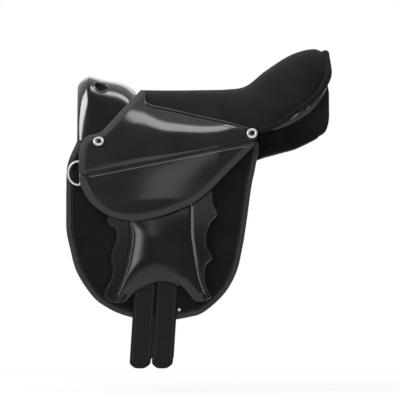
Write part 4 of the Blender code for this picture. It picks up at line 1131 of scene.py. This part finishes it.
for side, word in SIDES:
    for x, z, lift, end in STUDS:
        seat_at, aim = point_on(x, z, outer(skirt_face, SKIRT_THICK + lift), side, 0.1)
        base = seat_at + aim * STUD_LIFT
        washer = make_mesh(f"stud_washer_{end}_{word}", *spun(WASHER, base, aim, 72), STEEL)
        screw = make_mesh(f"stud_cross_screw_{end}_{word}", *spun(SCREW, base, aim, 48), DARK_STEEL)
        for angle in (CROSS_TURN, CROSS_TURN + 90):
            reach = np.array([math.cos(math.radians(angle)), 0, math.sin(math.radians(angle))])
            reach -= aim * np.dot(reach, aim)
            ends = seat_at + aim * 2.6 + np.array([-1, 1])[:, None] * reach * CROSS_HALF
            cut_away(screw, strip("driver", ends, np.tile(aim, (2, 1)), DRIVER, STEEL))
        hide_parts(f"stud_ring_{end}_{word}")
        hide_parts(f"stud_screw_{end}_{word}")
        for piece in (washer, screw):
            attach(piece, "root")

    form = spun(RIVET, *point_on(RIVET_X, RIVET_Z, outer(flap_face, FLAP_THICK), side, 0.4), 40)
    rivet = make_mesh(f"rivet_head_{word}", *form, STEEL)
    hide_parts(f"flap_rivet_{word}")
    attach(rivet, f"flap_{word}")

    # The D-ring: straight bar, two rounded corners, and a bow
    half, curve = (RING_TOP_Z - RING_LOW_Z) / 2, RING_CORNER
    stand = barrel(np.array([RING_TOP_Z, RING_LOW_Z])) + FLAP_THICK + RING_WIRE / 2 + RING_PLAY
    turn = np.linspace(-math.pi / 2, math.pi / 2, 61)
    bow_x = RING_BAR_X - curve - (RING_REACH - curve) * np.cos(turn)
    bow = np.stack([bow_x, half * np.sin(turn)], axis=1)
    turn = np.linspace(0, math.pi / 2, 8)[1:]
    upper = np.stack([RING_BAR_X - curve + curve * np.sin(turn), half - curve + curve * np.cos(turn)], axis=1)
    bar_z = np.linspace(half - curve, -half + curve, 18)[1:-1]
    bar_line = np.stack([np.full(16, RING_BAR_X), bar_z], axis=1)
    loop = np.vstack([bow, upper, bar_line, upper[::-1] * (1, -1)])
    y = stand.mean() + loop[:, 1] / (2 * half) * (stand[0] - stand[1])
    loop = np.stack([loop[:, 0], side * y, loop[:, 1] + (RING_TOP_Z + RING_LOW_Z) / 2], axis=1)
    form = turned_round(loop, np.tile([0.0, side, 0.0], (len(loop), 1)), round_profile(RING_WIRE / 2, 16))
    ring = make_mesh(f"d_ring_wire_{word}", form[0], form[1], STEEL)
    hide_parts(f"d_ring_{word}")
    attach(ring, f"d_ring_{word}")

    front, rear = smooth(TAB_FRONT, 50), resample(np.array(TAB_REAR, float), 50)
    ends = (resample(np.array([front[k], rear[k]]), 24) for k in (0, -1))
    tab = leaf(f"ring_tab_{word}", coons(front, rear, *ends), outer(flap_face, FLAP_THICK + RING_PLAY),
               TAB_THICK, side, STRAP_LEATHER, bulge=0.4)
    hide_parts(f"d_ring_tab_{word}")
    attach(tab, "root")
made = [obj for obj in bpy.data.objects if obj.name.startswith(("stud_", "rivet_", "d_ring_wire"))]
print("hardware:", len(made), "pieces")


# %% [markdown]
# ## Panels
# Two stuffed cushions lie along the pony's back, one each side of the gullet. Each is lofted through rings
# that follow the tree above and the back below. The cloth is drawn in, with a piping, along two seams: where
# the top of the cushion meets its outside, and where the outside meets its bearing face. Both ends are
# closed by rounded caps.

# %% Panels
PANEL_LOW_EDGE = np.array([(-150, 32), (-92, 18), (0, 9), (60, 7), (93, 8), (145, 11), (172, 21), (199, 46)])
PANEL_LIFT = np.array([(-150, -6), (0, 0), (60, 12), (93, 24), (138, 34), (174, 41), (188, 46), (199, 56)])
BAR_Z, BAR_PLATE_HEIGHT, BAR_FACE, TREE_THICK, PANEL_GAP = 17.0, 18.0, 78.0, 6.0, 2.0
TREE_PLAY, GULLET_HALF, BACK_BEND = 0.8, 27.0, 0.0042
NOSE = ((-58, 0.62, -16), (-50, 0.8, -14), (-28, 0.92, -8))
TAIL = ((5, 0.95), (9.5, 0.84), (13, 0.64))
AROUND, ALONG = 9, 5
SEAMS_AT, SEAM_DRAW, SEAM_REACH = (4 * AROUND, 8 * AROUND), 1.6, 1.6


def panel_rings():
    """Rings of 14 points: 5 on top, 3 down the outside and 6 under the cushion, at stations along X.
    At the front three rings shrink and drop to a nose; at the rear three shrink to a tail."""
    ceiling = seat_grid(seat_depth(15) + TREE_PLAY + PANEL_GAP + TREE_THICK, 2, 15)[:-2]
    v = np.linspace(-1, 1, 15)
    rings = []
    for row in ceiling:
        share = np.linspace(24.0 / row[-1, 1], 0.86, 5)
        top = np.stack([np.interp(share, v, row[:, k]) for k in range(3)], axis=1)
        x = top[-1, 0]
        low_y = BARREL_TOP_HALF - np.interp(x, PANEL_LOW_EDGE[:, 0], PANEL_LOW_EDGE[:, 1])
        rise = np.interp(x, PANEL_LIFT[:, 0], PANEL_LIFT[:, 1])
        y_low = np.linspace(low_y, GULLET_HALF, 6)
        z_low = 6.0 - BACK_BEND * y_low**2 + rise - 5.0 * np.sin(np.linspace(0, math.pi, 6))
        low = np.stack([np.full(6, x) if x < 150 else np.linspace(x, top[0, 0], 6), y_low, z_low], axis=1)
        s = np.linspace(0, 1, 5)[1:-1, None]
        wall = top[-1] + (low[0] - top[-1]) * s + np.array([0, 2.5, 0]) * np.sin(s * math.pi)
        beside_bar = wall[:, 2] > BAR_Z - BAR_PLATE_HEIGHT
        room = BAR_FACE - TREE_THICK - PANEL_GAP
        wall[:, 1] = np.where(beside_bar, np.minimum(wall[:, 1], room), wall[:, 1])
        rings.append(np.vstack([top, wall, low]))
    front = rings[0] - (0, 0, PANEL_GAP)
    centre = front.mean(axis=0)
    noses = [centre + (front - centre) * (1, size, size) + (shift, 4, drop)
             for shift, size, drop in NOSE]
    back = rings[-1]
    middle = back.mean(axis=0)
    tails = [middle + (back - middle) * (1, size, size) + (shift, 0, 0) for shift, size in TAIL]
    return np.array(noses + [front] + rings[1:] + tails)


def finer(rings, around, along):
    """The rings read more finely: round each ring as a closed Catmull-Rom curve, then along the cushion."""
    closed = []
    for ring in rings:
        loop = np.vstack([ring[-2:], ring, ring[:2]])
        fine = spline(loop, around)
        closed.append(fine[2 * around:-2 * around])
    closed = np.array(closed)
    return np.stack([spline(closed[:, k], along) for k in range(closed.shape[1])], axis=1)


def cushion(rings):
    """Closes both ends with rings that shrink to a point by a quarter circle, so the ends are rounded."""
    ends = []
    for ring, sign in ((rings[0], -1), (rings[-1], 1)):
        middle = ring.mean(axis=0)
        caps = []
        for angle in np.linspace(0, math.pi / 2, 9)[1:]:
            size = max(math.cos(angle), 0.004)
            caps.append(middle + (ring - middle) * size + np.array([sign * 4.5 * math.sin(angle), 0, 0]))
        ends.append(np.array(caps))
    return np.concatenate([ends[0][::-1], rings, ends[1]])


rings = finer(panel_rings(), AROUND, ALONG)
count = rings.shape[1]
for column in SEAMS_AT:
    steps = np.abs((np.arange(count) - column + count // 2) % count - count // 2)
    inward = unit(rings.mean(axis=1, keepdims=True) - rings)
    rings = rings + inward * (SEAM_DRAW * np.exp(-(steps / SEAM_REACH)**2))[None, :, None]
rings_all = cushion(rings)

for side, word in SIDES:
    shape = rings_all * (1, side, 1)
    faces = tube_faces(*shape.shape[:2])
    panel = make_mesh(f"panel_cushion_{word}", shape.reshape(-1, 3), faces, PANEL_SUEDE)
    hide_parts(f"panel_{word}")
    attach(panel, "root")
    for k, column in enumerate(SEAMS_AT):
        line = rings[:, column] * (1, side, 1)
        out = unit(line - rings.mean(axis=1) * (1, side, 1))
        cord_line = strip(f"panel_piping_{k}_{word}", line + out * 0.2, out, round_profile(1.4, 10),
                          SKIRT_LEATHER)
        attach(cord_line, "root")
print("panels:", len(panel.data.polygons), "faces each")

# %% [markdown]
# ## Tree, webbing and stirrup bars
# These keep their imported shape. They only get a better finish: moulded plastic for the tree, plated steel for
# the gullet plate, the stirrup bars and their catches, and woven webbing for the straps' carriers.

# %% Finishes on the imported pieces
PLAIN = {"tree": MOULDING, "gullet_plate": STEEL}
for _, word in SIDES:
    PLAIN.update({f"stirrup_bar_{word}": STEEL, f"bar_catch_{word}": STEEL, f"girth_web_{word}": WEBBING})
for node, finish in PLAIN.items():
    kept = frame["nodes"][node]
    kept.data.materials.clear()
    kept.data.materials.append(finish)
print("packed pieces dressed:", len(PLAIN))


# %% [markdown]
# ## Light, backdrop and camera
# The photograph was taken square on, with a long lens, against white paper, in a room that is dark behind the
# camera. So the black gloss mirrors the room and stays black, and the lamps alone make its highlights: the
# long one on the skirt's shoulder comes from overhead, the tall one on the pommel from the lamp ahead of it,
# and the broad, faint one down the lower skirt and the facing from a lamp over the camera's line of sight.

# %% Light, backdrop and camera
def lamp(name, place, target, size, glow):
    """A soft lamp at a place, facing a target. Its power is pi times its area times its glow, 1 for white."""
    data = bpy.data.lights.new(name, "AREA")
    data.shape = "RECTANGLE"
    data.size, data.size_y = size
    data.energy = glow * math.pi * size[0] * size[1]
    obj = bpy.data.objects.new(name, data)
    obj.location = place
    aim = np.array(target, float) - np.array(place, float)
    yaw = math.atan2(aim[1], aim[0])
    pitch = math.atan2(aim[2], math.hypot(aim[0], aim[1]))
    obj.rotation_euler = (math.pi / 2 + pitch, 0, yaw - math.pi / 2)
    bpy.context.scene.collection.objects.link(obj)


CENTRE, VIEW_WIDTH = (0.0, -0.07, -0.075), 0.6
lamp("overhead", (0.0, -0.03, 0.6), (0.0, -0.03, 0.03), (0.085, 0.24), 6)
lamp("behind_crest", (-0.1, 1.25, 0.95), (-0.1, 0.0, 0.1), (1.4, 0.7), 1.6)
lamp("front_corner", (-0.95, -0.35, 1.05), (-0.17, -0.06, 0.06), (0.6, 0.8), 9)
lamp("front_side", (-0.65, -1.8, 0.5), (-0.08, -0.14, -0.1), (0.5, 0.7), 5)
lamp("beside_camera", (-0.07, -2.0, 1.12), (-0.08, -0.14, -0.1), (0.2, 0.8), 1.4)
lamp("rear", (1.2, -1.2, 0.3), (0.15, 0.0, 0.05), (0.25, 0.9), 3)

# White paper: the eye sees it pure white but for a faint shadow under the saddle
floor_mesh = bpy.data.meshes.new("floor")
REACH, LEVEL, PAPER = 16.0, -0.36, "#f2f2f2"
around = [(x * REACH, y * REACH, LEVEL) for x, y in ((-1, -1), (1, -1), (1, 1), (-1, 1))]
floor_mesh.from_pydata(around, [], [(0, 1, 2, 3)])
floor = bpy.data.objects.new("floor", floor_mesh)
floor_finish, tree, shader = new_finish("studio_paper")
shader.inputs["Base Color"].default_value = linear(PAPER)
shader.inputs["Roughness"].default_value = 0.95
rays = add(tree, "ShaderNodeLightPath")
away = add(tree, "ShaderNodeVectorMath", {"operation": "LENGTH"}, _0=object_place(tree))
share = add(tree, "ShaderNodeMapRange", {"From Min": 0.4, "From Max": 1.5, "To Min": 0.85, "To Max": 1.0},
            Value=away.outputs["Value"])
seen = maths(tree, "MULTIPLY", rays.outputs["Is Camera Ray"], share.outputs["Result"])
white = add(tree, "ShaderNodeEmission", {"Color": linear("#ffffff"), "Strength": 1.0})
both = add(tree, "ShaderNodeMixShader", Fac=seen, _1=shader.outputs["BSDF"], _2=white.outputs["Emission"])
tree.links.new(both.outputs["Shader"], tree.nodes["Material Output"].inputs["Surface"])
floor_mesh.materials.append(floor_finish)
bpy.context.scene.collection.objects.link(floor)

# The room: the camera sees white paper, a mirror sees it only behind the saddle, and it gives soft light
ROOM_LIGHT, DARK_SIDE = 0.62, 0.12
world = bpy.data.worlds.new("studio")
bpy.context.scene.world = world
world.use_nodes = True
tree = world.node_tree
rays = add(tree, "ShaderNodeLightPath")
way = add(tree, "ShaderNodeSeparateXYZ", Vector=add(tree, "ShaderNodeTexCoord").outputs["Generated"])
behind = add(tree, "ShaderNodeMapRange", {"interpolation_type": "SMOOTHSTEP", "From Min": -0.1,
                                          "From Max": 0.5, "To Min": DARK_SIDE, "To Max": 1.0},
             Value=way.outputs["Y"])
mirror = maths(tree, "MAXIMUM", rays.outputs["Is Glossy Ray"], rays.outputs["Is Transmission Ray"])
mirrored = add(tree, "ShaderNodeMapRange", {"To Min": ROOM_LIGHT}, Value=mirror,
               To_Max=behind.outputs["Result"])
strength = maths(tree, "MAXIMUM", mirrored.outputs["Result"], rays.outputs["Is Camera Ray"])
ground = tree.nodes["Background"]
ground.inputs["Color"].default_value = linear("#ffffff")
tree.links.new(strength, ground.inputs["Strength"])

camera = bpy.data.cameras.new("camera")
camera.lens = 600
camera.sensor_width = 36
viewer = bpy.data.objects.new("camera", camera)
distance = VIEW_WIDTH * camera.lens / camera.sensor_width
viewer.location = (CENTRE[0], CENTRE[1] - distance, CENTRE[2])
viewer.rotation_euler = (math.pi / 2, 0, 0)
bpy.context.scene.collection.objects.link(viewer)
bpy.context.scene.camera = viewer
bpy.context.scene.view_settings.view_transform = "Standard"
print("camera", round(distance, 2), "m away, view", VIEW_WIDTH, "m wide at the saddle")
